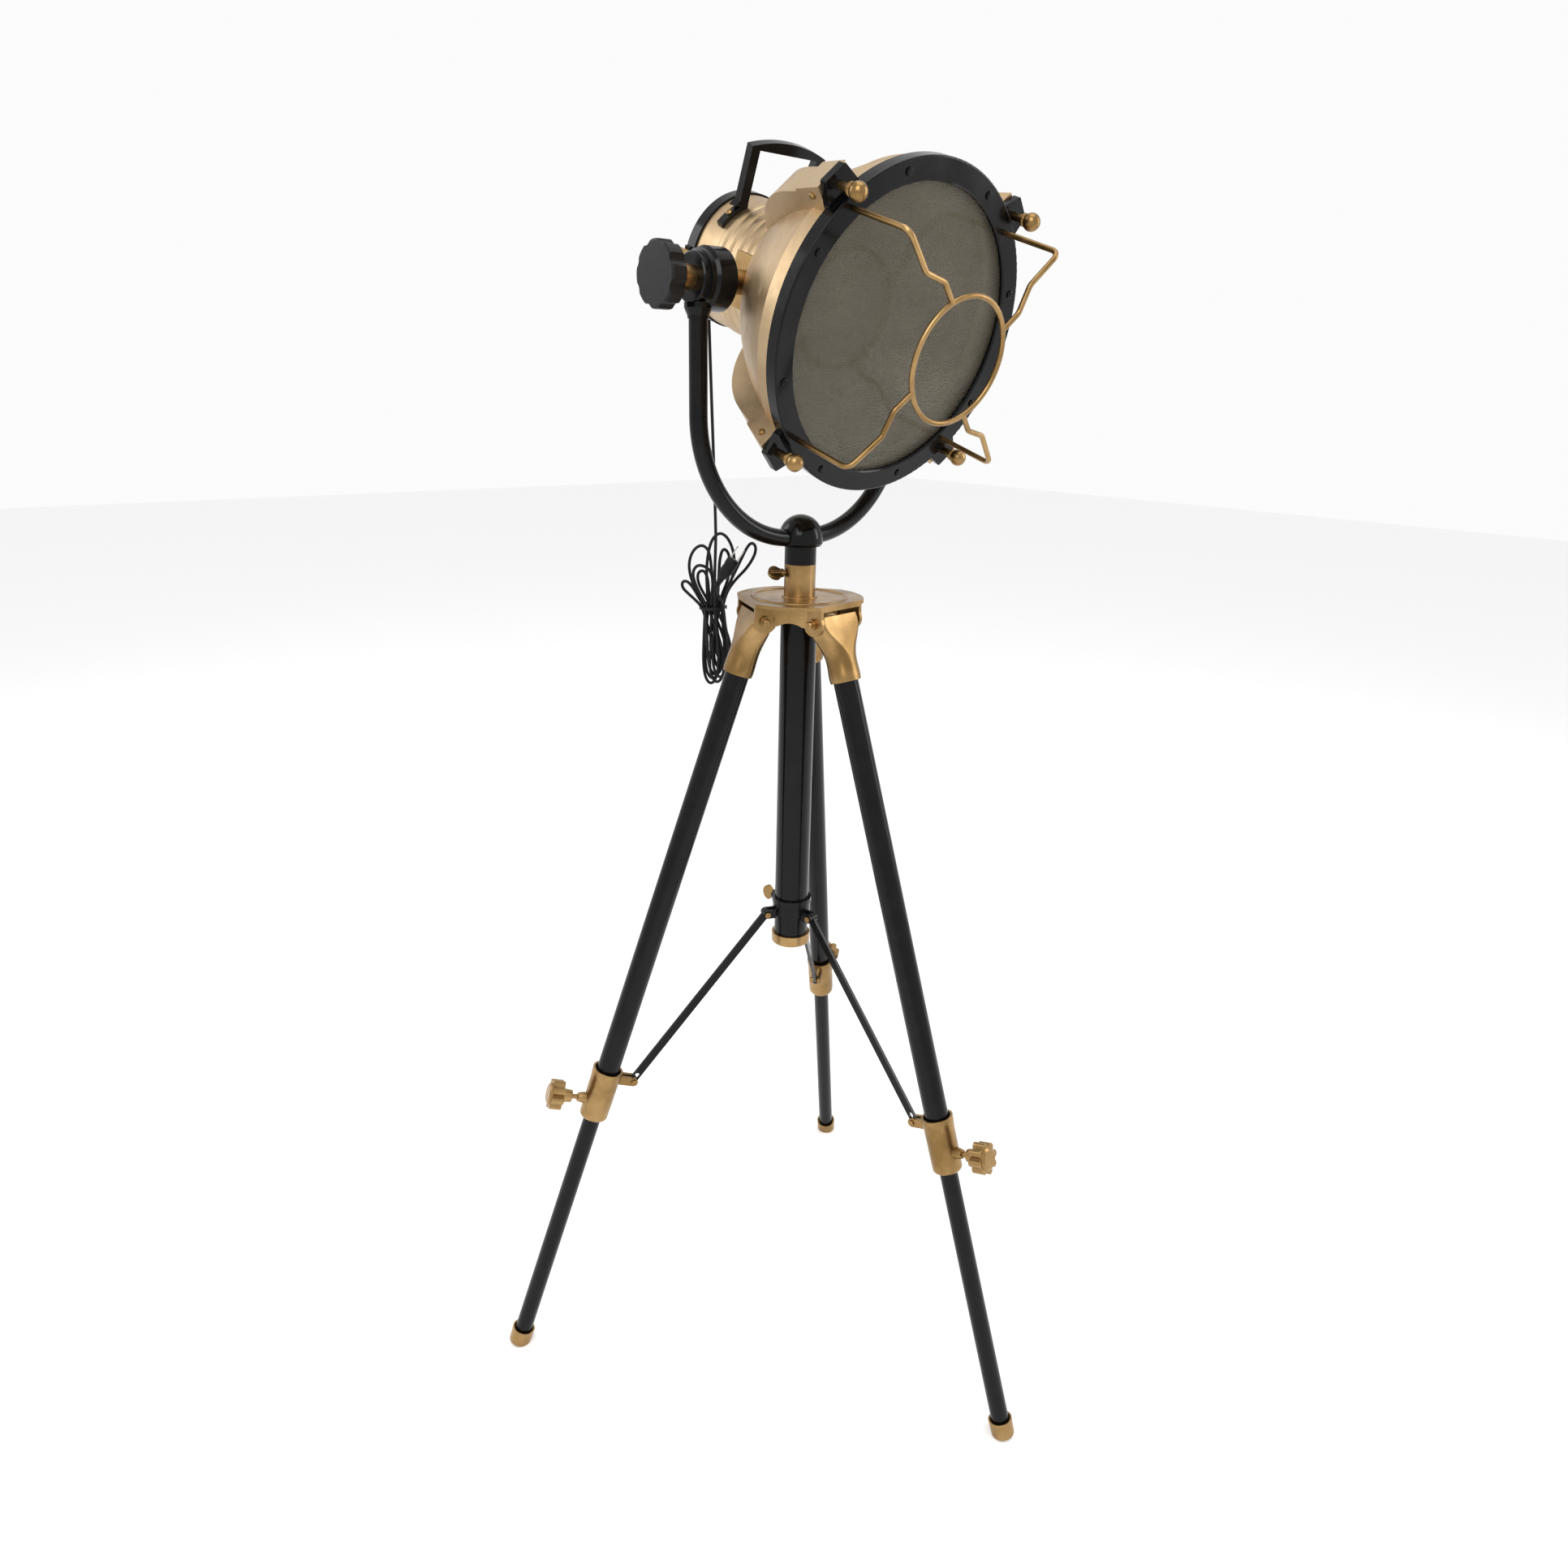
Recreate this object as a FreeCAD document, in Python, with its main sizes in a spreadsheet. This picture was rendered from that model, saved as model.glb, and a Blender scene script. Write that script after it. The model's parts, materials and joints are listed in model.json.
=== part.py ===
import FreeCAD, Part

import math
import os
import re

import Sketcher
from FreeCAD import Placement, Rotation, Vector

# A tripod floor lamp: a searchlight head in a U-shaped yoke on a folding tripod with telescopic legs.
# Millimetres, +Z up. The origin lies on the floor, in the middle of the rectangle that the feet cover.
# The head faces -Y. Every driving size stands in the sheet below.

DIMENSIONS = (
    # where the column stands in the row frame
    ("column_x", 22.3), ("column_y", 71.7),
    # column and hub
    ("column_radius", 21.0), ("tube_wall", 1.8), ("column_foot", 550.0), ("plate_top", 985.6),
    ("plate_thick", 4.0), ("hub_skirt", 26.0), ("hub_wall", 4.2), ("leg_side", 63.5),
    ("leg_side_half", 35.3), ("hub_round", 74.0), ("web_wall", 52.0),
    ("bead_radius", 54.2), ("bead_size", 1.8), ("collar_radius", 18.0),
    ("spigot_radius", 15.0), ("collar_top", 1023.0), ("cap_radius", 24.0), ("cap_deep", 14.0),
    # legs
    ("first_leg", 7.0), ("leg_lean", 18.2), ("pin_out", 51.5), ("pin_up", 964.8), ("pin_radius", 4.0),
    ("socket_end", 69.8), ("socket_radius", 17.2), ("head_half", 30.8), ("upper_radius", 14.3),
    ("lower_radius", 11.0), ("clamp_start", 596.6), ("clamp_end", 665.7), ("clamp_radius", 18.4),
    ("leg_length", 1013.6), ("overlap", 150.0), ("foot_radius", 14.0), ("foot_deep", 24.0),
    ("knob_along", 641.0), ("knob_radius", 18.0), ("knob_out", 47.6), ("knob_thick", 15.0),
    ("ear_along", 608.0), ("ear_in", 36.0), ("ear_gap", 5.0), ("ear_thick", 4.2),
    # spreader
    ("spreader_radius", 23.6), ("spreader_top", 608.7), ("spreader_deep", 22.0), ("strut_out", 33.0),
    ("strut_up", 588.0), ("strut_wide", 9.6), ("strut_thick", 4.0), ("strut_pin", 2.3),
    ("strut_slot", 8.4), ("fit_gap", 0.05),
    # yoke
    ("yoke_half", 144.0), ("yoke_radius", 9.5), ("yoke_bend", 130.0), ("yoke_low", 1053.0),
    ("ball_radius", 25.0), ("ball_foot", 1043.5), ("pivot_up", 1310.9), ("housing_radius", 30.0),
    ("housing_inner", 116.0), ("housing_outer", 154.0), ("shaft_radius", 12.0), ("tilt_knob_radius", 31.0),
    ("tilt_knob_inner", 178.5), ("tilt_knob_outer", 196.0),
    # head
    ("tilt", 17.9), ("head_drop", 3.0), ("barrel_radius", 68.5), ("barrel_rear", 112.0),
    ("barrel_front", 8.0), ("sheet_wall", 1.5), ("ring_radius", 158.7), ("ring_face", 150.5),
    ("ring_deep", 15.0), ("lens_radius", 137.3), ("guard_radius", 59.2), ("guard_face", 226.7),
    ("guard_wire", 2.7), ("guard_root", 147.0), ("guard_corner", 222.0), ("guard_swirl", 14.0),
    ("stud_out", 168.5), ("stud_ball", 166.5), ("stud_ball_radius", 8.7), ("lug_face", 143.5), ("rear_rim", 15.0),
    ("rim_radius", 70.5), ("handle_half", 50.0), ("handle_rise", 116.0), ("handle_back", 87.0),
    # cord
    ("cord_radius", 1.9), ("hank_middle", 163.0),
)
SOLID = 0.01
document = FreeCAD.newDocument("floor_lamp")
sheet = document.addObject("Spreadsheet::Sheet", "Dims")
for row, (alias, amount) in enumerate(DIMENSIONS, 1):
    sheet.set(f"A{row}", alias)
    sheet.set(f"B{row}", str(amount))
    sheet.setAlias(f"B{row}", alias)
document.recompute()
ALIASES = re.compile(r"\b(" + "|".join(alias for alias, _ in DIMENSIONS) + r")\b")
kept = []


def bound(text):
    """An expression over the sheet's aliases."""
    return ALIASES.sub(r"Dims.\1", str(text))


def size(text):
    """The number that an expression over the aliases gives now."""
    return float(getattr(sheet.evalExpression(bound(text)), "Value", sheet.evalExpression(bound(text))))


def keep(piece, name):
    """Marks a piece as one of the lamp's sub-parts."""
    piece.Label = name
    kept.append(piece)
    return piece


def new_body(name, placement):
    body = document.addObject("PartDesign::Body", name)
    body.Placement = placement
    return body


def new_sketch(body, role, name):
    """An empty sketch on one of the body's own origin planes."""
    plane = next(item for item in body.Origin.OriginFeatures if item.Role == role)
    sketch = body.newObject("Sketcher::SketchObject", name)
    sketch.AttachmentSupport = (plane, [""])
    sketch.MapMode = "FlatFace"
    return sketch


def pin_point(sketch, edge, end, corner):
    """Ties one end of an edge to the two expressions of its corner."""
    for kind, axis, text in (("DistanceX", -2, corner[0]), ("DistanceY", -1, corner[1])):
        if str(text) == "0":
            sketch.addConstraint(Sketcher.Constraint("PointOnObject", edge, end, axis))
        else:
            index = sketch.addConstraint(Sketcher.Constraint(kind, -1, 1, edge, end, size(text)))
            sketch.setExpression(f"Constraints[{index}]", bound(text))


def arc_between(start, end, radius):
    """An arc from start to end; a positive radius bulges to the right of the way there."""
    chord = end - start
    half = chord.Length / 2
    rise = abs(radius) - math.sqrt(max(radius * radius - half * half, 0))
    side = Vector(chord.y, -chord.x, 0).normalize() * math.copysign(rise, radius)
    return Part.Arc(start, (start + end) / 2 + side, end)


def draw(sketch, corners, closed=True):
    """Draws edges through the corners; a corner's third entry is the radius of the arc that leaves it."""
    spots = [Vector(size(corner[0]), size(corner[1]), 0) for corner in corners]
    last = len(corners) if closed else len(corners) - 1
    ends = []
    for number in range(last):
        corner, start, end = corners[number], spots[number], spots[(number + 1) % len(spots)]
        if len(corner) == 3:
            edge = sketch.addGeometry(arc_between(start, end, size(corner[2])))
            near = (sketch.getPoint(edge, 1) - start).Length < SOLID
        else:
            edge = sketch.addGeometry(Part.LineSegment(start, end))
            near = True
        ends.append((edge, 1 if near else 2, 2 if near else 1))
    for number, (edge, first, second) in enumerate(ends):
        pin_point(sketch, edge, first, corners[number])
        if len(corners[number]) == 3:
            index = sketch.addConstraint(Sketcher.Constraint("Radius", edge, abs(size(corners[number][2]))))
            sketch.setExpression(f"Constraints[{index}]", bound(f"abs({corners[number][2]})"))
        if closed or number + 1 < last:
            after = ends[(number + 1) % last]
            sketch.addConstraint(Sketcher.Constraint("Coincident", edge, second, after[0], after[1]))
        else:
            pin_point(sketch, edge, second, corners[number + 1])


def turned(name, corners, placement=Placement()):
    """A piece turned about its own Z axis from an outline of (radius, height) corners."""
    body = new_body(name, placement)
    sketch = new_sketch(body, "XZ_Plane", name + "_outline")
    draw(sketch, corners)
    turn = body.newObject("PartDesign::Revolution", name + "_turn")
    turn.Profile = sketch
    turn.ReferenceAxis = (sketch, ["V_Axis"])
    turn.Angle = 360
    sketch.Visibility = False
    document.recompute()
    return body


def padded(name, corners, thick, placement=Placement(), role="XY_Plane"):
    """A plate of one outline, as thick as the expression says, half on each side of its plane."""
    body = new_body(name, placement)
    sketch = new_sketch(body, role, name + "_outline")
    draw(sketch, corners)
    pad = body.newObject("PartDesign::Pad", name + "_pad")
    pad.Profile = sketch
    pad.setExpression("Length", bound(thick))
    pad.Midplane = True
    document.recompute()
    return body


def rod(name, radius, length, placement=Placement()):
    """A plain cylinder along its own Z axis."""
    piece = document.addObject("Part::Cylinder", name)
    piece.setExpression("Radius", bound(radius))
    piece.setExpression("Height", bound(length))
    piece.Placement = placement
    return piece


def brick(name, wide, deep, tall, placement=Placement()):
    """A plain block, centred on its own X and Y axes and standing on its XY plane."""
    piece = document.addObject("Part::Box", name)
    for side, text in (("Length", wide), ("Width", deep), ("Height", tall)):
        piece.setExpression(side, bound(text))
    piece.Placement = placement * Placement(Vector(-size(wide) / 2, -size(deep) / 2, 0), Rotation())
    return piece


def hoop(name, radius, thick, placement):
    piece = document.addObject("Part::Torus", name)
    piece.setExpression("Radius1", bound(radius))
    piece.setExpression("Radius2", bound(thick))
    piece.Placement = placement
    return piece


def joined(name, pieces):
    """One solid from pieces that run into each other."""
    whole = document.addObject("Part::MultiFuse", name)
    whole.Shapes = pieces
    whole.Refine = True
    return whole


def less(name, base, *tools):
    """The base with the tools taken out of it."""
    for number, tool in enumerate(tools):
        cut = document.addObject("Part::Cut", f"{name}_cut_{number}")
        cut.Base, cut.Tool = base, tool
        base = cut
    return base


def grouped(name, pieces):
    """Separate solids that share one name."""
    group = document.addObject("Part::Compound", name)
    group.Links = pieces
    return group


def piped(name, corners, radius, wall, placement=Placement()):
    """A round tube bent in its own XZ plane; corners as draw takes them. It starts along Z."""
    body = new_body(name, placement)
    path = new_sketch(body, "XZ_Plane", name + "_path")
    draw(path, corners, closed=False)
    section = new_sketch(body, "XY_Plane", name + "_section")
    middle = Vector(size(corners[0][0]), 0, 0)
    for text in (radius, f"{radius} - {wall}")[:2 if wall else 1]:
        edge = section.addGeometry(Part.Circle(middle, Vector(0, 0, 1), size(text)))
        section.addConstraint(Sketcher.Constraint("PointOnObject", edge, 3, -1))
        place = section.addConstraint(Sketcher.Constraint("DistanceX", -1, 1, edge, 3, middle.x))
        section.setExpression(f"Constraints[{place}]", bound(corners[0][0]))
        index = section.addConstraint(Sketcher.Constraint("Radius", edge, size(text)))
        section.setExpression(f"Constraints[{index}]", bound(text))
    section.AttachmentOffset = Placement(Vector(0, 0, size(corners[0][1])), Rotation())
    document.recompute()
    pipe = body.newObject("PartDesign::AdditivePipe", name + "_pipe")
    pipe.Profile = section
    pipe.Spine = (path, [f"Edge{number}" for number in range(1, len(corners))])
    document.recompute()
    return body


def at(x=0.0, y=0.0, z=0.0):
    return Placement(Vector(x, y, z), Rotation())


def about(axis, degrees):
    return Placement(Vector(), Rotation(axis, degrees))


X_AXIS, Y_AXIS, Z_AXIS = Vector(1, 0, 0), Vector(0, 1, 0), Vector(0, 0, 1)
STAND = at(size("column_x"), size("column_y"))


def leg_plane(number):
    """The upright plane of one leg: its X axis points outwards from the column."""
    return STAND * about(Z_AXIS, size("first_leg") + 120 * number - 90)


def leg_frame(number):
    """One leg's own frame: origin at its pivot pin, Z up along the leg, X outwards, Y along the pin."""
    return leg_plane(number) * at(size("pin_out"), 0, size("pin_up")) * about(Y_AXIS, -size("leg_lean"))


def across(placement):
    """Turns a frame so that its Z axis points along the old Y axis."""
    return placement * about(X_AXIS, -90)


def outwards(placement):
    """Turns a frame so that its Z axis points along the old X axis."""
    return placement * about(Y_AXIS, 90)


# ---------------------------------------------------------------------------------------------------- hub
def build_hub():
    """A flat plate with a ring bead, three leg seats with two cheeks each and three walls set back."""
    block = rod("hub_block", "hub_round", "hub_skirt", STAND * at(z=size("plate_top - hub_skirt")))
    under = size("plate_top - plate_thick")
    cuts, ears = [rod("hub_hollow", "web_wall - 8", "hub_skirt", STAND * at(z=under - size("hub_skirt")))], []
    for number in range(3):
        plane = leg_plane(number)
        pin = plane * at(size("pin_out"), 0, size("pin_up"))
        cuts.append(brick(f"hub_flat_{number}", "40", "200", "80", plane * at(size("leg_side") + 20, 0,
                                                                            size("plate_top") - 60)))
        cuts.append(brick(f"hub_slot_{number}", "44", "2 * head_half + 0.6", "40",
                          pin * at(6, 0, under - 2.6 - size("pin_up") - 40)))
        half = "((web_wall - leg_side_half / sin(60)) * tan(60))"
        far = f"({half} + 40 * tan(60))"
        web = plane * about(Z_AXIS, 60)
        cuts.append(padded(f"hub_web_{number}", (
            ("web_wall", f"0 - {half}"), ("web_wall + 40", f"0 - {far}"), ("web_wall + 40", far),
            ("web_wall", half)), "60", web * at(z=under - 30)))
        cuts.append(rod(f"hub_arch_{number}", "26", "60",
                        outwards(web * at(30, 0, size("plate_top - hub_skirt") - 22))))
        for side in (-1, 1):
            place = side * size("head_half + 0.3 + hub_wall / 2")
            ears.append(rod(f"hub_ear_{number}_{side}", "13.6", "hub_wall",
                            across(pin * at(0, place - size("hub_wall / 2"), 0))))
            ears.append(brick(f"hub_rib_{number}_{side}", "24", "hub_wall", "16", pin * at(-1, place, 0)))
    bead = hoop("hub_bead", "bead_radius", "bead_size", STAND * at(z=size("plate_top") - 0.4))
    rim = rod("hub_seat", "collar_radius + 2.4", "1.5", STAND * at(z=size("plate_top")))
    body = joined("hub_body", [less("hub_open", block, *cuts), *ears, bead, rim])
    bores = [rod(f"hub_bore_{number}", "pin_radius", "120",
                 across(leg_plane(number) * at(size("pin_out"), -60, size("pin_up"))))
             for number in range(3)]
    mouth = rod("hub_mouth", "spigot_radius + fit_gap", "20", STAND * at(z=size("plate_top") - 12))
    keep(less("hub_done", body, *bores, mouth), "tripod_hub")


def build_column():
    keep(turned("column", (("column_radius - tube_wall", "column_foot"), ("column_radius", "column_foot"),
                           ("column_radius", "plate_top - plate_thick"),
                           ("column_radius - tube_wall", "plate_top - plate_thick")), STAND), "column_tube")
    keep(turned("cap", (("0", "column_foot - 4"), ("cap_radius - 3", "column_foot - 4", "3"),
                        ("cap_radius", "column_foot - 1"), ("cap_radius", "column_foot - 4 + cap_deep"),
                        ("column_radius", "column_foot - 4 + cap_deep"), ("column_radius", "column_foot"),
                        ("0", "column_foot")), STAND), "column_cap")
    collar = turned("collar", (("spigot_radius + fit_gap", "plate_top + 1.5"),
                               ("collar_radius", "plate_top + 1.5"), ("collar_radius", "collar_top"),
                               ("spigot_radius + fit_gap", "collar_top")), STAND)
    hole = rod("collar_hole", "3.05", "20", screw_frame() * at(z=size("spigot_radius") - 3))
    keep(less("collar_done", collar, hole), "socket_collar")


def screw_frame():
    """The collar's thumbscrew: its Z axis points outwards, over the third leg."""
    return outwards(leg_plane(2) * at(z=size("collar_top") - 10))


def thumbscrew(name, frame, tip, reach, turn):
    """A screw with a flat round-ended paddle and a rib along it; Z points out from the threaded end."""
    frame = frame * about(Z_AXIS, turn)
    shank = rod(name + "_shank", "3", f"{reach} - {tip} + 12", frame * at(z=size(tip)))
    flange = rod(name + "_flange", "5", "2", frame * at(z=size(reach) - 2))
    paddle = padded(name + "_paddle", (
        ("-4.5", reach), ("4.5", reach), ("9.2", f"{reach} + 5"), ("9.6", f"{reach} + 8", "9.9"),
        ("-9.6", f"{reach} + 8"), ("-9.2", f"{reach} + 5")), "4", frame, "XZ_Plane")
    return keep(joined(name + "_whole", [shank, flange, paddle]), name)


def build_bolts():
    """Three pivot bolts, each with a domed head at one end and a nut at the other."""
    bolts = []
    for number in range(3):
        frame = across(leg_frame(number))
        half = "(head_half + 0.3 + hub_wall)"
        bolts.append(turned(f"bolt_{number}", (
            ("0", f"0 - {half} - 8.6"), ("3.2", f"0 - {half} - 8.6"), ("4.2", f"0 - {half} - 7.6"),
            ("4.2", f"0 - {half} - 4"), ("6.2", f"0 - {half} - 4"), ("6.2", f"0 - {half}"),
            ("pin_radius", f"0 - {half}"), ("pin_radius", half), ("6.2", half), ("6.2", f"{half} + 4"),
            ("4.2", f"{half} + 4"), ("4.2", f"{half} + 7.6"), ("3.2", f"{half} + 8.6"),
            ("0", f"{half} + 8.6")), frame))
    keep(grouped("bolts", bolts), "leg_pivot_bolts")


# --------------------------------------------------------------------------------------------------- legs
def loft_ring(half_x, half_y, corner, height):
    """A rounded rectangle as one wire of four sides and four corners."""
    edges = []
    spots = ((1, -1), (1, 1), (-1, 1), (-1, -1))
    for turn, (side_x, side_y) in enumerate(spots):
        centre = Vector(side_x * (half_x - corner), side_y * (half_y - corner), height)
        start = math.radians(-90 + 90 * turn)
        arc = [centre + Vector(math.cos(start + math.radians(step)), math.sin(start + math.radians(step)), 0)
               * corner for step in (0, 45, 90)]
        edges.append(Part.Arc(*arc).toShape())
        after_x, after_y = spots[(turn + 1) % 4]
        beyond = start + math.pi / 2
        goal = Vector(after_x * (half_x - corner), after_y * (half_y - corner), height)
        goal += Vector(math.cos(beyond), math.sin(beyond), 0) * corner
        if (goal - arc[2]).Length > SOLID:
            edges.append(Part.LineSegment(arc[2], goal).toShape())
    return Part.Wire(edges)


def build_socket(number):
    """The cast joint between the hub and a leg: a wide head that narrows to a round socket."""
    frame = leg_frame(number)
    radius, half = size("socket_radius"), size("head_half")
    wires = [loft_ring(half_x, half_y, corner, height) for half_x, half_y, corner, height in (
        (12.0, half, 5.0, 5.0), (12.5, half, 5.0, -9.0), (14.0, half * 0.86, 9.0, -20.0),
        (radius - 1.0, radius + 1.6, radius - 2.0, -38.0), (radius, radius + 0.4, radius - 0.2, -52.0),
        (radius, radius + 0.02, radius - 0.2, -size("socket_end")))]
    loft = document.addObject("Part::Feature", f"socket_loft_{number}")
    loft.Shape = Part.makeLoft(wires, True, False)
    loft.Placement = frame
    blank = document.addObject("Part::Common", f"socket_blank_{number}")
    blank.Base, blank.Tool = loft, brick(f"socket_faces_{number}", "80", "2 * head_half + 0.2", "120",
                                         frame * at(z=-90))
    bore = rod(f"socket_bore_{number}", "upper_radius", "socket_end - 36",
               frame * at(z=-size("socket_end")))
    hole = rod(f"socket_hole_{number}", "pin_radius + fit_gap", "2 * head_half + 20",
               across(frame * at(0, -size("head_half") - 10, 0)))
    keep(less(f"socket_{number}", blank, bore, hole), f"leg_socket_{number + 1}")


def build_upper_leg(number):
    keep(turned(f"upper_{number}", (
        ("upper_radius - tube_wall", "0 - knob_along + 20"), ("upper_radius", "0 - knob_along + 20"),
        ("upper_radius", "-36"), ("upper_radius - tube_wall", "-36")), leg_frame(number)),
        f"upper_leg_tube_{number + 1}")


def ear_pair(name, frame, depth, reach):
    """Two ears across a pin along Y; the frame's origin is the pin and its X axis points at the body."""
    ears = []
    for side in (-1, 1):
        place = size("(ear_gap + ear_thick) / 2") * side
        ears.append(rod(f"{name}_eye_{side}", depth, "ear_thick",
                        across(frame * at(0, place - size("ear_thick") / 2, 0))))
        ears.append(brick(f"{name}_arm_{side}", reach, "ear_thick", f"2 * {depth}",
                          frame * at(size(reach) / 2, place, -size(depth))))
    return ears


def build_leg_collar(number):
    """The casting that guides the lower leg, takes the clamp knob and carries the strut's fork."""
    frame = leg_frame(number)
    sleeve = turned(f"sleeve_{number}", (
        ("lower_radius + fit_gap", "0 - clamp_end"), ("clamp_radius - 5", "0 - clamp_end", "5"),
        ("clamp_radius - 0.4", "0 - clamp_end + 5"), ("clamp_radius", "0 - clamp_start - 14"),
        ("clamp_radius + 0.8", "0 - clamp_start - 6"), ("clamp_radius + 0.8", "0 - clamp_start"),
        ("upper_radius + 2.2", "0 - clamp_start"), ("upper_radius + 2.2", "0 - clamp_start - 9"),
        ("upper_radius", "0 - clamp_start - 11"), ("upper_radius", "0 - knob_along + 20"),
        ("lower_radius + fit_gap", "0 - knob_along + 20")), frame)
    boss = outwards(frame * at(z=-size("knob_along")))
    nose = turned(f"nose_{number}", (("0", "14"), ("7.4", "14"), ("6.6", "22"), ("5.4", "27.5"),
                                     ("0", "27.5")), boss)
    fork = ear_pair(f"fork_{number}", frame * at(-size("ear_in"), 0, -size("ear_along")), "5.4", "20")
    blank = joined(f"collar_blank_{number}", [sleeve, nose, *fork])
    inside = rod(f"collar_bore_{number}", "lower_radius + fit_gap", "60",
                 frame * at(z=-size("knob_along") - 39.9))
    thread = rod(f"collar_thread_{number}", "3 + fit_gap", "30", boss)
    eye = rod(f"collar_eye_{number}", "strut_pin", "30",
              across(frame * at(-size("ear_in"), -15, -size("ear_along"))))
    keep(less(f"leg_collar_done_{number}", blank, inside, thread, eye), f"leg_collar_{number + 1}")
    pin = across(frame * at(-size("ear_in"), 0, -size("ear_along")))
    keep(cross_pin(f"collar_pin_blank_{number}", pin), f"collar_pin_{number + 1}")


def cross_pin(name, frame):
    """A short pin with a flat round head on each end of its fork."""
    edge = "(ear_gap / 2 + ear_thick)"
    return turned(name, (("0", f"0 - {edge} - 1.8"), ("3.6", f"0 - {edge} - 1.8"), ("3.6", f"0 - {edge}"),
                         ("strut_pin", f"0 - {edge}"), ("strut_pin", edge), ("3.6", edge),
                         ("3.6", f"{edge} + 1.8"), ("0", f"{edge} + 1.8")), frame)


def build_lower_leg(number):
    frame = leg_frame(number)
    keep(turned(f"lower_{number}", (
        ("lower_radius - 1.5", "0 - leg_length + 8"), ("lower_radius", "0 - leg_length + 8"),
        ("lower_radius", "0 - clamp_end + overlap"), ("lower_radius - 1.5", "0 - clamp_end + overlap")),
        frame), f"lower_leg_tube_{number + 1}")
    cup = turned(f"cup_{number}", (
        ("0", "0 - leg_length - 3.4"), ("foot_radius - 5", "0 - leg_length - 3.4", "5"),
        ("foot_radius", "0 - leg_length + 1.6"), ("foot_radius + 0.5", "0 - leg_length - 4 + foot_deep"),
        ("foot_radius - 1.4", "0 - leg_length - 4 + foot_deep"),
        ("foot_radius - 1.4", "0 - leg_length + 12"), ("lower_radius", "0 - leg_length + 12"),
        ("lower_radius", "0 - leg_length + 8"), ("0", "0 - leg_length + 8")), frame)
    floor = brick(f"floor_{number}", "2000", "2000", "60", at(0, 0, -60))
    keep(less(f"foot_{number}", cup, floor), f"foot_cap_{number + 1}")


def build_collar_knob(number):
    """An eight-lobed star knob on a stud that bears on the lower leg."""
    frame = outwards(leg_frame(number) * at(z=-size("knob_along")))
    outline = []
    lobes = 8
    for lobe in range(lobes):
        for turn, reach in ((-0.26, 0.97), (0.26, 0.97), (0.5, 0.78)):
            angle = (lobe + turn) * 360 / lobes
            point = (f"cos({angle:.3f}) * {reach} * knob_radius", f"sin({angle:.3f}) * {reach} * knob_radius")
            outline.append(point + ((f"knob_radius * 0.26",) if turn == -0.26 else ()))
    star = padded(f"star_{number}", outline, "knob_thick", frame * at(z=size("knob_out + knob_thick / 2")))
    dome = turned(f"dome_{number}", (
        ("0", "lower_radius + 0.3"), ("3", "lower_radius + 0.3"), ("3", "knob_out - 12"),
        ("7.6", "knob_out - 12"), ("8.6", "knob_out"), ("13.5", "knob_out"),
        ("13.5", "knob_out + knob_thick + 1"), ("10.5", "knob_out + knob_thick + 3"),
        ("0", "knob_out + knob_thick + 3")), frame)
    keep(joined(f"collar_knob_whole_{number}", [star, dome]), f"collar_knob_{number + 1}")


# ----------------------------------------------------------------------------------------------- spreader
def strut_frame(number):
    """One strut's own frame: origin at its pin on the spreader, Z up along the strut."""
    out, drop = leg_pin_place()
    lean = math.degrees(math.atan2(out - size("strut_out"), size("strut_up") - drop))
    return leg_plane(number) * at(size("strut_out"), 0, size("strut_up")) * about(Y_AXIS, -lean)


def leg_pin_place():
    """Where the strut's pin on the leg's collar lies: its distance from the column and its height."""
    lean = math.radians(size("leg_lean"))
    along, inwards = size("ear_along"), size("ear_in")
    return (size("pin_out") + along * math.sin(lean) - inwards * math.cos(lean),
            size("pin_up") - along * math.cos(lean) - inwards * math.sin(lean))


def build_spreader():
    """The clamp that slides on the column and spreads the three struts."""
    ring = turned("spreader_ring", (
        ("column_radius + fit_gap", "spreader_top - spreader_deep"),
        ("spreader_radius", "spreader_top - spreader_deep"), ("spreader_radius", "spreader_top - 7"),
        ("spreader_radius + 1", "spreader_top - 6"), ("spreader_radius + 1", "spreader_top"),
        ("column_radius + fit_gap", "spreader_top")), STAND)
    forks = []
    for number in range(3):
        pin = leg_plane(number) * at(size("strut_out"), 0, size("strut_up"))
        forks += ear_pair(f"spreader_fork_{number}", pin * about(Z_AXIS, 180), "5.4", "11")
    boss = rod("spreader_boss", "6", "8", spreader_screw_frame() * at(z=size("spreader_radius") - 2))
    bore = rod("spreader_bore", "column_radius + fit_gap", "80", STAND * at(z=size("spreader_top") - 60))
    hole = rod("spreader_hole", "3 + fit_gap", "30", spreader_screw_frame() * at(z=15))
    eyes = [rod(f"spreader_eye_{number}", "strut_pin", "30",
                across(leg_plane(number) * at(size("strut_out"), -15, size("strut_up"))))
            for number in range(3)]
    blank = joined("spreader_blank", [ring, *forks, boss])
    keep(less("spreader_done", blank, bore, hole, *eyes), "spreader_clamp")
    pins = [cross_pin(f"spreader_pin_{number}",
                      across(leg_plane(number) * at(size("strut_out"), 0, size("strut_up"))))
            for number in range(3)]
    keep(grouped("spreader_pin_group", pins), "spreader_pins")


def spreader_screw_frame():
    """The clamp's thumbscrew: its Z axis points outwards between the two rear legs."""
    return outwards(leg_plane(1) * about(Z_AXIS, 60) * at(z=size("spreader_top") - 8))


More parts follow.
